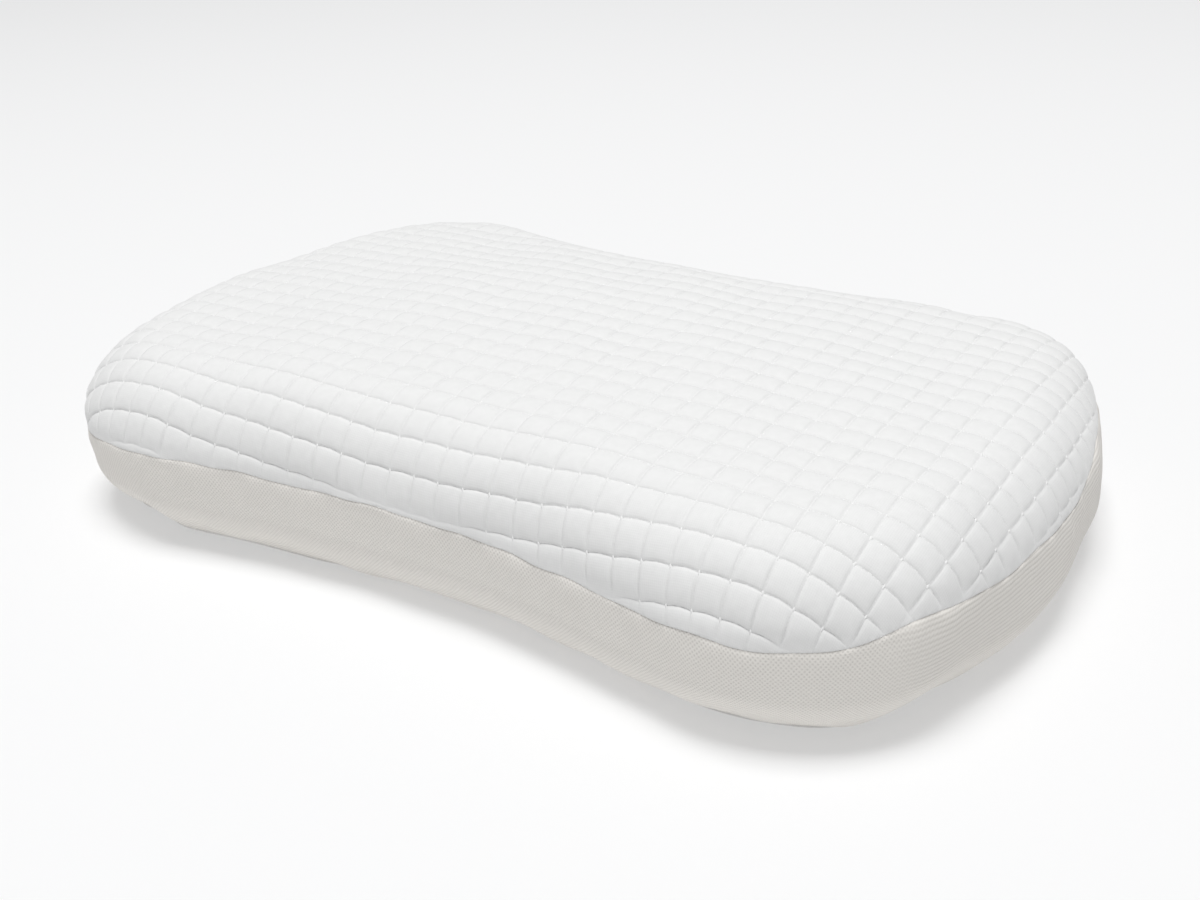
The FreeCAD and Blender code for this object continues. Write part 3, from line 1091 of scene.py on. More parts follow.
@dataclass
class QuiltedTop:
    """Quilted upper panel of the cover, draped over the top edge down to the seam."""

    form: PillowForm
    heights: Heights
    pattern: QuiltPattern = field(default_factory=QuiltPattern)
    thickness: float = 0.0040
    steps_along: int = 8
    steps_across: int = 10
    overhang: float = 0.085
    rim_width: float = 0.0070
    rim_puff: float = 0.12
    sunk_share: float = 0.55
    wander_height: float = 0.0007
    inner_places: int = 260
    rolled_rim: tuple[tuple[float, float], ...] = ((0.0004, -0.0002), (0.0006, -0.0014), (0.0, -0.0033))
    inner_side: tuple[float, ...] = (0.97, 0.85, 0.68, 0.5, 0.32, 0.16, 0.0)
    inner_top: tuple[float, ...] = (-0.15, -0.35, -0.55, -0.75, -0.9)

    def seam_s(self, t: np.ndarray) -> np.ndarray:
        """Cloth length from the flat top's edge to the panel's seam."""
        return self.form.down_to(self.heights.top_seam_at(t))

    def end_share(self, x: np.ndarray, y: np.ndarray) -> np.ndarray:
        """Share of a flat place that hangs over one of the pillow's ends."""
        distance, normal, _ = self.form.nearest(x, y)
        return eased(np.abs(normal[..., 0]), 0.25, 0.85) * eased(distance, -0.02, 0.03)

    def wander(self, x: np.ndarray, y: np.ndarray, distance: np.ndarray, t: np.ndarray) -> np.ndarray:
        """Slow rise and fall of the filled top, which dies away towards the seam and the zip.

        Args:
            x: flat places along the pillow.
            y: flat places across it.
            distance: their distances outwards from the flat top's edge.
            t: their places round the outline.

        Returns:
            Distances outwards.
        """
        held = (1 - away_from_zip(t)) * eased(distance, 0.0, 0.045)
        free = eased(self.seam_s(t) - distance, 0.0, 0.012)
        return self.wander_height * ripples(x, y, 51, 0.26, 0.07) * (1 - held) * free

    def lattice(self) -> tuple[np.ndarray, np.ndarray]:
        """Quilting coordinates of the grid, closer together by each groove.

        Returns:
            The columns and the rows, in cells.
        """
        reach_x = self.form.length / 2 - self.form.shoulder + self.overhang
        reach_y = self.form.depth / 2 - self.form.shoulder + self.overhang
        pitch = self.pattern.pitch
        out = []
        for reach, start, steps in (
            (reach_x, self.pattern.column_start, self.steps_along),
            (reach_y, self.pattern.row_start, self.steps_across),
        ):
            first = math.floor((-reach - start) / pitch)
            last = math.ceil((reach - start) / pitch)
            inside = (1 - np.cos(np.pi * np.arange(steps) / steps)) / 2
            whole = (np.arange(first, last)[:, None] + inside).ravel()
            out.append(np.append(whole, last))
        return out[0], out[1]

    def spare(self, x: np.ndarray, y: np.ndarray) -> np.ndarray:
        """Cloth left between a flat place and the seam, negative beyond it."""
        distance, _, t = self.form.nearest(x, y)
        return self.seam_s(t) - distance

    def _clip(self, flat: np.ndarray, spare: np.ndarray,
              shape: tuple[int, int]) -> tuple[list[tuple[int, ...]], np.ndarray, np.ndarray]:
        """Cut the grid along the seam.

        Args:
            flat: x, y, column and row of each grid point.
            spare: cloth left to the seam at each.
            shape: points along and across.

        Returns:
            The faces, every kept point's four values and the numbers of those on the seam.
        """
        ids = np.arange(len(flat)).reshape(shape)
        quads = np.stack([ids[:-1, :-1], ids[1:, :-1], ids[1:, 1:], ids[:-1, 1:]], -1).reshape(-1, 4)
        inside = spare > 0
        kept = inside[quads].sum(1)
        faces = [tuple(quad) for quad in quads[kept == 4].tolist()]
        extra: list[np.ndarray] = []
        cuts: dict[tuple[int, int], int] = {}
        for quad in quads[(kept > 0) & (kept < 4)].tolist():
            face = []
            for here, after in zip(quad, quad[1:] + quad[:1]):
                if inside[here]:
                    face.append(here)
                if inside[here] != inside[after]:
                    key = (min(here, after), max(here, after))
                    if key not in cuts:
                        share = spare[key[0]] / (spare[key[0]] - spare[key[1]])
                        cuts[key] = len(flat) + len(extra)
                        extra.append(flat[key[0]] * (1 - share) + flat[key[1]] * share)
                    face.append(cuts[key])
            faces.append(tuple(face))
        every = np.concatenate([flat, np.array(extra)])
        used = np.unique(np.concatenate([np.array(face) for face in faces]))
        renumber = np.full(len(every), -1)
        renumber[used] = np.arange(len(used))
        faces = [tuple(int(renumber[k]) for k in face) for face in faces]
        edge = renumber[np.arange(len(flat), len(every))]
        return faces, every[used], edge

    def build(self, material: bpy.types.Material) -> bpy.types.Object:
        """Make the panel.

        Args:
            material: its cloth.

        Returns:
            The panel, one closed padded piece.
        """
        columns, rows = self.lattice()
        column, row = np.meshgrid(columns, rows, indexing="ij")
        x, y = self.pattern.place(column, row)
        grid = np.stack([x, y, column, row], -1).reshape(-1, 4)
        faces, kept, edge = self._clip(grid, self.spare(grid[:, 0], grid[:, 1]), column.shape)
        x, y = kept[:, 0], kept[:, 1]
        distance, _, t = self.form.nearest(x, y)
        spare = np.maximum(self.seam_s(t) - distance, 0)
        height = self.pattern.puffed(kept[:, 2], kept[:, 3], self.end_share(x, y))
        rim = eased(spare, 0.0, self.rim_width)
        lift = (height - self.sunk_share * self.pattern.puff) * (self.rim_puff + (1 - self.rim_puff) * rim)
        lift = lift + softness(t, np.maximum(distance, 0), self.form)
        lift = lift + self.wander(x, y, distance, t)
        cloth = Cloth()
        top = cloth.add(self.form.skin(x, y, lift), np.stack([x, y], -1))
        cloth.faces.extend(faces)
        # Painted shade mask: 1 deep in a groove, 0 on a full puff; it darkens the knit's colour there.
        groove = 1 - np.clip(height / (0.75 * self.pattern.puff), 0, 1)
        edge = edge[np.argsort(t[edge])]
        self._turn_under(cloth, top[edge], t[edge])
        values = np.concatenate([groove ** 2, np.zeros(cloth.count - len(top))])
        panel = cloth.finish("quilted_top_panel", {"groove": values})
        panel.data.materials.append(material)
        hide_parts("quilted_top_panel")
        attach(panel, BODY)
        return panel

    def _turn_under(self, cloth: Cloth, edge: np.ndarray, t: np.ndarray) -> None:
        """Roll the panel's edge under at the seam and close it with its inner face.

        Args:
            cloth: the panel's mesh so far.
            edge: numbers of its points along the seam, in their order round the outline.
            t: their places round the outline.
        """
        seam = self.seam_s(t)
        soft = softness(t, seam, self.form)
        last = edge
        for down, lift in self.rolled_rim:
            points = self.form.wall(t, seam + down, lift + soft)
            ring = cloth.add(points, np.stack([t * self.form.girth, seam + down], -1))
            cloth.join(last, ring)
            last = ring
        coarse = np.arange(self.inner_places) / self.inner_places
        seam = self.seam_s(coarse)
        previous, last_t = last, t
        for share in self.inner_side:
            lift = softness(coarse, seam * share, self.form) - self.thickness
            points = self.form.wall(coarse, seam * share, lift)
            ring = cloth.add(points, np.stack([coarse * self.form.girth, seam * share], -1))
            if share == self.inner_side[0]:
                cloth.zip_up(previous, last_t, ring, coarse)
            else:
                cloth.join(previous, ring)
            previous = ring
        for station in self.inner_top:
            points = self.form.ring(coarse, station, -self.thickness)
            ring = cloth.add(points, np.zeros((len(coarse), 2)))
            cloth.join(previous, ring)
            previous = ring
        middle = self.form.crest(np.zeros(1), np.zeros(1))[0][0] - self.thickness
        cloth.close(previous, np.array([0, 0, middle]), (0.0, 0.0), last=True)


@dataclass
class SideBand:
    """Mesh band round the side: one long front piece and two strips either side of the zip."""

    form: PillowForm
    heights: Heights
    thickness: float = 0.0034
    stations: int = 26
    seam_gap: float = 0.0002
    base_gap: float = 0.0001
    join_gap: float = 0.0006
    tuck: float = 0.0002
    pucker: float = 0.0005
    ruffle: float = 0.0009
    slack: float = 0.0006
    tuck_reach: tuple[float, float] = (0.004, 0.005)
    pucker_reach: float = 0.022
    ruffle_reach: float = 0.020
    held_reach: tuple[float, float] = (0.005, 0.004)
    rib_turn: tuple[float, float] = (0.70, 0.96)

    def _strip(self, name: str, t: np.ndarray, top_s: np.ndarray, low_s: np.ndarray,
               tucked: tuple[bool, bool], material: bpy.types.Material) -> bpy.types.Object:
        """One strip of the band between two cloth lengths.

        Args:
            name: the piece's name, which is also the one it stands for.
            t: places round the outline.
            top_s: cloth length of its upper edge at each place.
            low_s: cloth length of its lower edge.
            tucked: whether the upper and the lower edges are drawn in at a seam.
            material: the cloth.

        Returns:
            The strip, closed all round.
        """
        down = np.linspace(0, 1, self.stations)[:, None]
        s = top_s + (low_s - top_s) * down
        below, above = s - top_s, low_s - s
        drawn = tucked[0] * self.tuck * (1 - eased(below, 0, self.tuck_reach[0]))
        drawn = drawn + tucked[1] * self.tuck * (1 - eased(above, 0, self.tuck_reach[1]))
        u = t * self.form.girth
        pucker = self.pucker * ripples(u, s * 0.25, 61, 0.05, 0.016)
        ruffle = self.ruffle * ripples(u, s * 0.35, 62, 0.075, 0.026)
        uneven = pucker * (1 - eased(below, 0, self.pucker_reach))
        uneven = uneven + ruffle * (1 - eased(above, 0, self.ruffle_reach))
        uneven = uneven + self.slack * ripples(u, s * 0.8, 63, 0.20, 0.05)
        held = eased(below, 0, self.held_reach[0]) * eased(above, 0, self.held_reach[1])
        outer = softness(t, s, self.form) - drawn + uneven * away_from_zip(t) * held
        back = s[::-1]
        inner = softness(t, back, self.form) - self.thickness
        levels = np.concatenate([s, back])
        points = self.form.wall(t, levels, np.concatenate([outer, inner]))
        flat = np.stack(np.broadcast_arrays(u, levels), -1)
        normal = self.form.outline(t, self.form.shoulder)[1]
        rib = np.broadcast_to(eased(normal[:, 0], *self.rib_turn), levels.shape)
        made = swept(name, points, flat, False, values={"rib": rib})
        made.data.materials.append(material)
        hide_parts(name)
        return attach(made, BODY)

    def build(self, material: bpy.types.Material) -> list[bpy.types.Object]:
        """Make the band's three pieces.

        Args:
            material: their cloth.

        Returns:
            The front piece and the two strips at the back.
        """
        level, form = self.heights, self.form
        join = level.join_t
        round_front = np.linspace(join, 1 - join, 900)
        across_back = np.linspace(-join + self.join_gap, join - self.join_gap, 160)
        zip_top = form.down_to(level.zip_middle + level.tape_edge)
        zip_low = form.down_to(level.zip_middle - level.tape_edge)
        parts = []
        for name, t, top, low, tucked in (
            ("side_band_front", round_front, None, None, (True, True)),
            ("side_band_back_upper", across_back, None, zip_top, (True, False)),
            ("side_band_back_lower", across_back, zip_low, None, (False, True)),
        ):
            top_s, low_s = np.full(len(t), top or 0.0), np.full(len(t), low or 0.0)
            if top is None:
                top_s = form.down_to(level.top_seam_at(t)) + self.seam_gap
            if low is None:
                low_s = form.down_to(level.bottom_seam_at(t)) - self.base_gap
            parts.append(self._strip(name, t, top_s, low_s, tucked, material))
        return parts


@dataclass
class BottomPanel:
    """Flat bottom panel, with its edge rolled outwards a little at the seam."""

    form: PillowForm
    heights: Heights
    thickness: float = 0.0020
    places: int = 720
    rolled_edge: tuple[tuple[float, float], ...] = (
        (0.0, -0.0016), (0.0, -0.0003), (0.0005, 0.0002), (0.0014, 0.0005), (0.0028, 0.0004),
    )
    side_shares: tuple[float, ...] = (0.3, 0.5, 0.7, 0.85, 1.0)
    base_shares: tuple[float, ...] = (0.08, 0.2, 0.4, 0.6, 0.8, 0.93)

    def build(self, material: bpy.types.Material) -> bpy.types.Object:
        """Make the panel.

        Args:
            material: its cloth.

        Returns:
            The panel, closed.
        """
        form, t = self.form, np.arange(self.places) / self.places
        seam = form.down_to(self.heights.bottom_seam_at(t))
        cloth = Cloth(wrap=form.girth)
        u = t * form.girth
        runs = []
        rest = form.foot_s - seam
        for down, lift in self.rolled_edge:
            soft = softness(t, seam + down, form)
            runs.append(cloth.add(form.wall(t, seam + down, lift + soft), np.stack([u, seam + down], -1)))
        for share in self.side_shares:
            s = seam + rest * share
            runs.append(cloth.add(form.wall(t, s, softness(t, s, form)), np.stack([u, s], -1)))
        for share in self.base_shares:
            ring = form.ring(t, form.foot_s + share, 0.0)
            runs.append(cloth.add(ring, ring[:, :2]))
        for upper, lower in zip(runs, runs[1:]):
            cloth.join(upper, lower)
        cloth.close(runs[-1], np.zeros(3), (0.0, 0.0), last=True)
        inside = []
        for share in reversed(self.base_shares):
            ring = form.ring(t, form.foot_s + share, -self.thickness)
            inside.append(cloth.add(ring, ring[:, :2]))
        for share in (*reversed(self.side_shares), 0.1):
            s = seam + rest * share
            lift = softness(t, s, form) - self.thickness
            inside.append(cloth.add(form.wall(t, s, lift), np.stack([u, s], -1)))
        cloth.close(inside[0], np.array([0, 0, self.thickness]), (0.0, 0.0), last=False)
        for upper, lower in zip(inside, inside[1:]):
            cloth.join(upper, lower)
        cloth.join(inside[-1], runs[0])
        panel = cloth.finish("bottom_panel")
        panel.data.materials.append(material)
        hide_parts("bottom_panel")
        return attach(panel, BODY)


@dataclass
class Filling:
    """Foam core and the two halves of its thin liner, seen only when the cover is off."""

    form: PillowForm
    heights: Heights
    places: int = 240
    liner_inset: float = 0.0044
    liner_thickness: float = 0.0008
    liner_gap: float = 0.0004
    core_inset: float = 0.0058
    padding: float = 0.9
    stitch_pitch: float = 0.0032
    stitch: tuple[float, float, float] = (0.0026, 0.0007, 0.0007)
    seam: float = field(init=False)

    def __post_init__(self) -> None:
        """Find the cloth length down to the liner's seam."""
        self.seam = float(self.form.down_to(self.heights.top_seam))

    def _shell(self, cloth: Cloth, stations: list[float], inset: float) -> list[np.ndarray]:
        """Rings of one face at an inset.

        Args:
            cloth: the mesh that they are added to.
            stations: where they lie, over the top, down the side and under the base.
            inset: how far inside the cover's surface.

        Returns:
            The numbers of each ring's points.
        """
        t = np.arange(self.places) / self.places
        runs = []
        for station in stations:
            points = self.form.ring(t, station, -inset)
            if 0 <= station <= self.form.foot_s:
                points = self.form.wall(t, station, softness(t, station, self.form) - inset)
            runs.append(cloth.add(points, points[:, :2]))
        for upper, lower in zip(runs, runs[1:]):
            cloth.join(upper, lower)
        return runs

    def _top(self, inset: float) -> np.ndarray:
        """Middle point of the top at an inset."""
        return np.array([0, 0, self.form.crest(np.zeros(1), np.zeros(1))[0][0] - inset])

    def _core(self, material: bpy.types.Material) -> bpy.types.Object:
        """Foam block, closed over the top and under the base.

        Args:
            material: its foam.

        Returns:
            The core.
        """
        cloth = Cloth()
        down = np.linspace(0, self.form.foot_s, 26).tolist()
        stations = [-0.93, -0.8, -0.6, -0.4, -0.2, -0.08, *down]
        stations += [self.form.foot_s + share for share in (0.15, 0.4, 0.7, 0.92)]
        runs = self._shell(cloth, stations, self.core_inset)
        cloth.close(runs[0], self._top(self.core_inset), (0.0, 0.0), last=False)
        cloth.close(runs[-1], np.array([0, 0, self.core_inset]), (0.0, 0.0), last=True)
        core = cloth.finish("foam_core")
        core.data.materials.append(material)
        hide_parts("foam_core")
        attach(core, BODY)
        return core

    def _half(self, name: str, stations: list[float], upper: bool,
              material: bpy.types.Material) -> bpy.types.Object:
        """One half of the liner, with its inner face.

        Args:
            name: the piece's name.
            stations: where its rings lie.
            upper: whether it closes over the top, or else under the base.
            material: its cloth.

        Returns:
            The half, closed.
        """
        cloth = Cloth()
        inner_inset = self.liner_inset + self.liner_thickness
        outer = self._shell(cloth, stations, self.liner_inset)
        inner = self._shell(cloth, stations[::-1], inner_inset)
        if upper:
            cloth.close(outer[0], self._top(self.liner_inset), (0.0, 0.0), last=False)
            cloth.close(inner[-1], self._top(inner_inset), (0.0, 0.0), last=True)
            cloth.join(outer[-1], inner[0])
        else:
            cloth.close(outer[-1], np.array([0, 0, self.liner_inset]), (0.0, 0.0), last=True)
            cloth.close(inner[0], np.array([0, 0, inner_inset]), (0.0, 0.0), last=False)
            cloth.join(inner[-1], outer[0])
        half = cloth.finish(name)
        half.data.materials.append(material)
        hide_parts(name)
        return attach(half, BODY)

    def build(self, foam: bpy.types.Material, cloth: bpy.types.Material, thread: bpy.types.Material) -> None:
        """Make the core, the liner's halves and the stitches between them.

        Args:
            foam: the core's material.
            cloth: the liner's.
            thread: its stitches'.
        """
        self._core(foam)
        over = [-0.93, -0.7, -0.45, -0.2, -0.06, *np.linspace(0, self.seam - self.liner_gap, 12).tolist()]
        under = np.linspace(self.seam + self.liner_gap, self.form.foot_s, 16).tolist()
        under += [self.form.foot_s + share for share in (0.15, 0.4, 0.7, 0.92)]
        self._half("liner_upper", over, True, cloth)
        self._half("liner_lower", under, False, cloth)
        line = StitchLine(self.form, self.stitch_pitch)
        line.sew("liner_seam_thread", 0.0, 1.0, lambda t: np.full(len(t), self.seam),
                 -self.liner_inset - self.liner_gap, Repeats(*self.stitch, thread))


def on_side(form: PillowForm, t: np.ndarray, s: np.ndarray,
            lift: float) -> tuple[np.ndarray, np.ndarray, np.ndarray]:
    """Points on the pillow's even side, each with two short steps.

    Args:
        form: the pillow's form.
        t: their places round the outline.
        s: their cloth lengths down from the edge of the flat top.
        lift: their distance outwards.

    Returns:
        The points, the steps down the side and the steps outwards.
    """
    points = form.wall(t, s, lift)
    return points, form.wall(t, s + NUDGE, lift) - points, form.wall(t, s, lift + NUDGE) - points


@dataclass
class StitchLine:
    """Lines of stitches that follow the pillow's side, one at every pitch."""

    form: PillowForm
    pitch: float

    def sew(self, name: str, start: float, end: float, level: Callable[[np.ndarray], np.ndarray],
            lift: float, beads: Repeats) -> bpy.types.Object:
        """Sew one line round the side.

        Args:
            name: the piece's name.
            start: place round the outline where it starts.
            end: place where it ends.
            level: gives the cloth length at places round the outline.
            lift: distance of the stitches' middles from the surface.
            beads: the stitch.

        Returns:
            The stitches as one piece.
        """
        count = max(2, round((end - start) * self.form.girth / self.pitch))
        t = start + (np.arange(count) + 0.5) * (end - start) / count
        s = level(t)
        soft = softness(t, s, self.form)
        points = self.form.wall(t, s, lift + soft)
        ahead = self.form.wall(t + NUDGE, level(t + NUDGE), lift + soft)
        out = self.form.wall(t, s, lift + soft + NUDGE) - points
        made = beads.lay(name, points, ahead - points, out)
        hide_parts(name)
        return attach(made, BODY)


@dataclass
class Seams:
    """Stitches of the cover's long seams and of the upright joins beside the zip."""

    form: PillowForm
    heights: Heights
    pitch: float = 0.0028
    top_drop: float = 0.0012
    top_inset: float = 0.0026
    bottom_inset: float = 0.0013
    join_inset: float = 0.0006
    join_shift: float = 0.0003
    join_low: float = 0.0105
    join_high: float = 0.0575

    def build(self, white: bpy.types.Material, grey: bpy.types.Material) -> None:
        """Sew every line of the cover.

        Args:
            white: thread of the top seam.
            grey: thread of the bottom seam and the joins.
        """
        form, level = self.form, self.heights
        line = StitchLine(form, self.pitch)
        line.sew("top_seam_thread", 0.0, 1.0,
                 lambda t: form.down_to(level.top_seam_at(t)) + self.top_drop,
                 -self.top_inset, Repeats(*STITCH, white))
        line.sew("bottom_seam_thread", 0.0, 1.0, lambda t: form.down_to(level.bottom_seam_at(t)),
                 -self.bottom_inset, Repeats(*STITCH, grey))
        for side, name in ((-1, "band_join_thread_left"), (1, "band_join_thread_right")):
            self._join(name, side, grey)

    def _join(self, name: str, side: int, thread: bpy.types.Material) -> None:
        """Sew one upright join beside the zip.

        Args:
            name: the piece's name.
            side: -1 or 1, which end of the zip.
            thread: its material.
        """
        z = np.arange(self.join_low, self.join_high, self.pitch)
        t = np.full(len(z), side * (self.heights.join_t - self.join_shift))
        s = self.form.down_to(z)
        points, along, out = on_side(self.form, t, s, -self.join_inset)
        made = Repeats(*STITCH, thread).lay(name, points, along, out)
        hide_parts(name)
        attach(made, BODY)


@dataclass
class QuiltStitches:
    """Thread seen in the quilting's grooves: long stitches in the rows, ties across the columns."""

    top: QuiltedTop
    ties: tuple[float, ...] = (0.27, 0.5, 0.73)
    runs: tuple[float, ...] = (0.16, 0.5, 0.84)
    row_stitch: tuple[float, float, float] = (0.0036, 0.0006, 0.0005)
    tie_stitch: tuple[float, float, float] = (0.0020, 0.0004, 0.0003)
    knot: tuple[float, float, float] = (0.0014, 0.0036, 0.0010)
    knot_proud: float = 0.0001
    seam_margin: float = 0.004
    cell_step: float = 0.02

    def _lay(self, name: str, column: np.ndarray, row: np.ndarray, beads: Repeats,
             proud: float = 0.0) -> None:
        """Set a stitch at every given place of the quilting that is inside the seam.

        Args:
            name: the piece's name.
            column: places in cells along the pillow.
            row: places in cells across it.
            beads: the stitch.
            proud: how far it stands out of the cloth.
        """
        top, form = self.top, self.top.form
        x, y = top.pattern.place(column, row)
        inside = top.spare(x, y) > self.seam_margin
        column, row, x, y = column[inside], row[inside], x[inside], y[inside]
        ahead = top.pattern.place(column + self.cell_step, row)
        distance, _, t = form.nearest(x, y)
        height = top.pattern.puffed(column, row, top.end_share(x, y))
        lift = height - top.sunk_share * top.pattern.puff
        lift = lift + softness(t, np.maximum(distance, 0), form)
        lift = lift + top.wander(x, y, distance, t) + proud
        points = form.skin(x, y, lift)
        along = form.skin(ahead[0], ahead[1], lift) - points
        out = form.skin(x, y, lift + NUDGE) - points
        made = beads.lay(name, points, along, out)
        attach(made, BODY)

    def build(self, thread: bpy.types.Material) -> None:
        """Sew the rows and tie the columns.

        Args:
            thread: the thread's material.
        """
        columns, rows = self.top.lattice()
        cells_i = np.arange(math.floor(columns[0]), math.ceil(columns[-1]))
        cells_j = np.arange(math.floor(rows[0]), math.ceil(rows[-1]))
        i, j, run = np.meshgrid(cells_i, cells_j, self.runs, indexing="ij")
        self._lay("quilting_rows", (i + run).ravel(), j.ravel().astype(float),
                  Repeats(*self.row_stitch, thread, 0.15, 3))
        i, j, tie = np.meshgrid(cells_i, cells_j, self.ties, indexing="ij")
        self._lay("quilting_ties", i.ravel().astype(float), (j + tie).ravel(),
                  Repeats(*self.tie_stitch, thread, 0.15, 4))
        i, j = np.meshgrid(cells_i, cells_j, indexing="ij")
        self._lay("quilting_knots", i.ravel().astype(float), j.ravel().astype(float),
                  Repeats(*self.knot, thread, 0.2, 5), self.knot_proud)


@dataclass
class Zip:
    """Zip along the back: two tapes, two rows of coil, topstitching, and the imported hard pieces."""

    form: PillowForm
    heights: Heights
    tape_depth: float = 0.0012
    tape_thickness: float = 0.0006
    tape_gap: float = 0.0006
    chain_t: float = 0.0843
    coil_pitch: float = 0.0015
    coil_low: float = 0.0004
    coil_high: float = 0.0029
    coil_turn: tuple[float, float] = (0.0011, 0.0016)
    stitch_pitch: float = 0.0030
    stitch_rise: float = 0.0104
    stitch_short: float = 0.001

    def _tape(self, name: str, low: float, high: float, material: bpy.types.Material) -> None:
        """One woven tape, from join to join.

        Args:
            name: the piece's name.
            low: height of its lower edge.
            high: height of its upper edge.
            material: its cloth.
        """
        reach = self.heights.join_t - self.tape_gap
        t = np.linspace(-reach, reach, 160)
        levels = self.form.down_to(np.array([high, low, low, high]))[:, None]
        deep = -self.tape_depth - self.tape_thickness
        lifts = np.array([-self.tape_depth, -self.tape_depth, deep, deep])[:, None]
        points = self.form.wall(t, levels + 0 * t, lifts)
        flat = np.stack(np.broadcast_arrays(t * self.form.girth, levels), -1)
        made = swept(name, points, flat, False)
        made.data.materials.append(material)
        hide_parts(name)
        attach(made, BODY)

    def _coil(self, name: str, low: float, high: float, shift: float,
              material: bpy.types.Material) -> None:
        """One row of coil turns on the outer face of its tape.

        Args:
            name: the piece's name.
            low: height of its lower edge.
            high: height of its upper edge.
            shift: part of a turn that it is set along by.
            material: its nylon.
        """
        count = int(2 * self.chain_t * self.form.girth / self.coil_pitch)
        t = -self.chain_t + (np.arange(count) + 0.5 + shift) * self.coil_pitch / self.form.girth
        t = t[t < self.chain_t]
        s = np.full(len(t), float(self.form.down_to((low + high) / 2)))
        points, along, out = on_side(self.form, t, s, -self.coil_low)
        made = Repeats(high - low, *self.coil_turn, material, 0.0).lay(name, points, along, out)
        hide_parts(name)
        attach(made, BODY)

    def build(self, tape: bpy.types.Material, coil: bpy.types.Material, metal: bpy.types.Material,
              thread: bpy.types.Material) -> None:
        """Make the tapes, coils and topstitching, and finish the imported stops, slider and pull.

        Args:
            tape: cloth of the tapes.
            coil: nylon of the coils and the stops.
            metal: metal of the slider and the pull.
            thread: thread of the topstitching.
        """
        middle, edge = self.heights.zip_middle, self.heights.tape_edge
        self._tape("upper_zip_tape", middle + self.tape_gap, middle + edge, tape)
        self._tape("lower_zip_tape", middle - edge, middle - self.tape_gap, tape)
        self._coil("upper_zip_coil", middle + self.coil_low, middle + self.coil_high, 0.0, coil)
        self._coil("lower_zip_coil", middle - self.coil_high, middle - self.coil_low, 0.5, coil)
        line = StitchLine(self.form, self.stitch_pitch)
        reach = self.heights.join_t - self.stitch_short
        for name, rise in (("upper_zip_topstitch", self.stitch_rise),
                           ("lower_zip_topstitch", -self.stitch_rise)):
            s = float(self.form.down_to(middle + rise))
            line.sew(name, -reach, reach, lambda t, s=s: np.full(len(t), s), 0.0,
                     Repeats(*STITCH, thread, 0.04))
        for name, slot, material in (
            ("zip_stop_left", "zip_nylon", coil),
            ("zip_stop_right", "zip_nylon", coil),
            ("zip_slider", "zip_metal", metal),
            ("zip_pull", "zip_metal", metal),
        ):
            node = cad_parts[name]
            node.data.materials.clear()
            node.data.materials.append(material)
            LOG.info("%s: packed shape kept", name)


@dataclass
class CareLabel:
    """Blank care label sewn flat on the band at one back corner."""

    form: PillowForm
    length: float = 0.038
    low: float = 0.034
    high: float = 0.049
    thickness: float = 0.0004
    proud: float = 0.0009
    bearing: float = math.radians(135)
    rows: int = 8

    def middle(self) -> float:
        """Place round the outline of the label's middle, on the corner's curve."""
        turned = math.pi - self.form.end_angle - self.bearing
        return (self.form.marks[7] + self.form.corner_radius * turned) / self.form.girth

    def build(self, material: bpy.types.Material) -> bpy.types.Object:
        """Make the label.

        Args:
            material: its cloth.

        Returns:
            The label.
        """
        middle, half = self.middle(), self.length / 2 / self.form.girth
        t = np.linspace(middle - half, middle + half, 40)
        top_s, low_s = self.form.down_to(np.array([self.high, self.low]))
        face = top_s + (low_s - top_s) * np.linspace(0, 1, self.rows)[:, None]
        s = np.concatenate([face, face[::-1]])
        raised = np.repeat([self.thickness + self.proud, self.proud], self.rows)[:, None]
        points = self.form.wall(t, s + 0 * t, raised + softness(t, s + 0 * t, self.form))
        flat = np.stack(np.broadcast_arrays(t * self.form.girth, s), -1)
        label = swept("care_label", points, flat, False)
        label.data.materials.append(material)
        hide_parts("care_label")
        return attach(label, BODY)


# ---------------------------------------------------------------------------
# Studio
# ---------------------------------------------------------------------------


@dataclass(frozen=True)
class Lamp:
    """Square soft lamp."""

    name: str
    place: tuple[float, float, float]
    size: float
    power: float


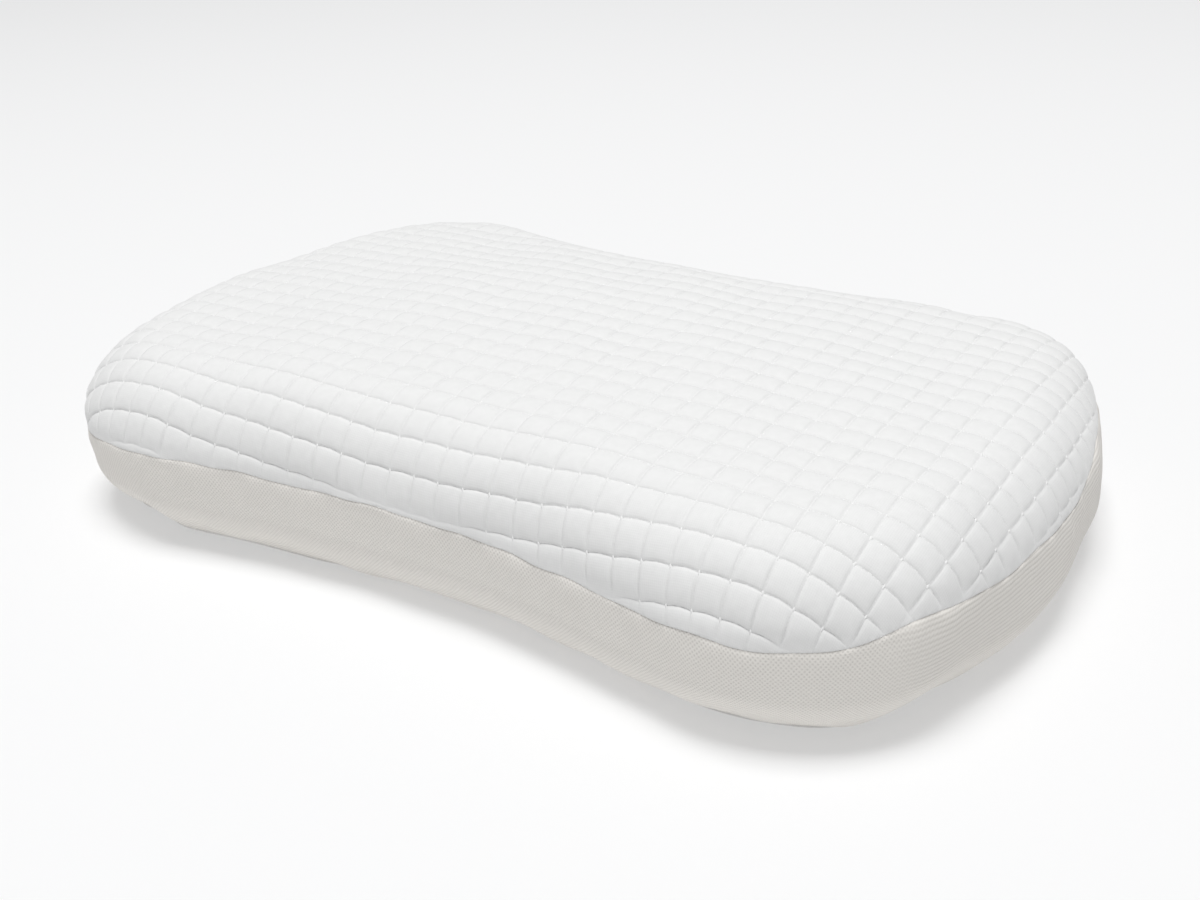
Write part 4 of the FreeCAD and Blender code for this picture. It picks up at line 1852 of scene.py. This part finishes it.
@dataclass
class Studio:
    """Camera, floor, world and lamps."""

    bearing: float = math.radians(33.83)
    elevation: float = math.radians(27.12)
    roll: float = math.radians(-2.5)
    distance: float = 0.8419
    lens: float = 43.40
    target: tuple[float, float, float] = (0.0369, -0.0376, 0.0500)
    floor_drop: float = 0.0006
    world_colour: tuple[float, float, float, float] = (0.97, 0.98, 1.0, 1.0)
    world_strength: float = 0.34
    lamps: tuple[Lamp, ...] = (
        Lamp("key_lamp", (0.15, -0.35, 4.4), 1.9, 150.5),
        Lamp("front_lamp", (0.50, -3.00, 0.80), 2.4, 3.5),
    )

    def camera(self) -> None:
        """Stand the camera at its place, turned a little about its own line of sight."""
        a, e = self.bearing, self.elevation
        back = Vector((math.sin(a) * math.cos(e), -math.cos(a) * math.cos(e), math.sin(e)))
        right = Vector((math.cos(a), math.sin(a), 0))
        up = back.cross(right)
        level = right * math.cos(self.roll) + up * math.sin(self.roll)
        upright = up * math.cos(self.roll) - right * math.sin(self.roll)
        data = bpy.data.cameras.new("camera")
        data.lens = self.lens
        data.sensor_width = 36.0
        data.clip_start, data.clip_end = 0.05, 20.0
        made = bpy.data.objects.new("camera", data)
        bpy.context.scene.collection.objects.link(made)
        turn = Matrix((level, upright, back)).transposed().to_4x4()
        made.matrix_world = Matrix.Translation(Vector(self.target) + back * self.distance) @ turn
        bpy.context.scene.camera = made

    def floor(self) -> None:
        """Lay a plain pale floor."""
        mesh = bpy.data.meshes.new("floor")
        reach = 12.0
        corners = [(-reach, -reach, 0), (reach, -reach, 0), (reach, reach, 0), (-reach, reach, 0)]
        mesh.from_pydata(corners, [], [(0, 1, 2, 3)])
        made = bpy.data.objects.new("floor", mesh)
        made.location.z = -self.floor_drop
        bpy.context.scene.collection.objects.link(made)
        made.data.materials.append(PlainFinish("studio_floor", (0.56, 0.56, 0.56), 1.0, glow=0.35).build())

    def hang(self, lamp: Lamp) -> None:
        """Hang one lamp so that it faces the pillow.

        Args:
            lamp: its name, place, size and power.
        """
        data = bpy.data.lights.new(lamp.name, "AREA")
        data.size = lamp.size
        data.energy = lamp.power
        made = bpy.data.objects.new(lamp.name, data)
        bpy.context.scene.collection.objects.link(made)
        made.location = lamp.place
        made.rotation_mode = "QUATERNION"
        made.rotation_quaternion = Vector(lamp.place).to_track_quat("Z", "Y")

    def build(self) -> None:
        """Set up the whole studio."""
        scene = bpy.context.scene
        scene.view_settings.view_transform = "Standard"
        world = bpy.data.worlds.new("studio")
        world.use_nodes = True
        background = world.node_tree.nodes["Background"]
        background.inputs["Color"].default_value = self.world_colour
        background.inputs["Strength"].default_value = self.world_strength
        scene.world = world
        self.camera()
        self.floor()
        for lamp in self.lamps:
            self.hang(lamp)


def main() -> None:
    """Build the pillow from its sub-assemblies, in the order that they are put together."""
    logging.basicConfig(level=logging.INFO, format="%(name)s: %(message)s")
    form = PillowForm()
    heights = Heights()
    white, grey = THREAD.build(), GREY_THREAD.build()
    Filling(form, heights).build(FOAM.build(), LINER_CLOTH.build(), white)
    BottomPanel(form, heights).build(BASE_CLOTH.build())
    SideBand(form, heights).build(SPACER_MESH.build())
    top = QuiltedTop(form, heights)
    top.build(QUILT_KNIT.build())
    QuiltStitches(top).build(white)
    Seams(form, heights).build(white, grey)
    Zip(form, heights).build(TAPE_CLOTH.build(), NYLON.build(), METAL.build(), grey)
    CareLabel(form).build(LABEL_CLOTH.build())
    Studio().build()


if __name__ == "__main__":
    main()
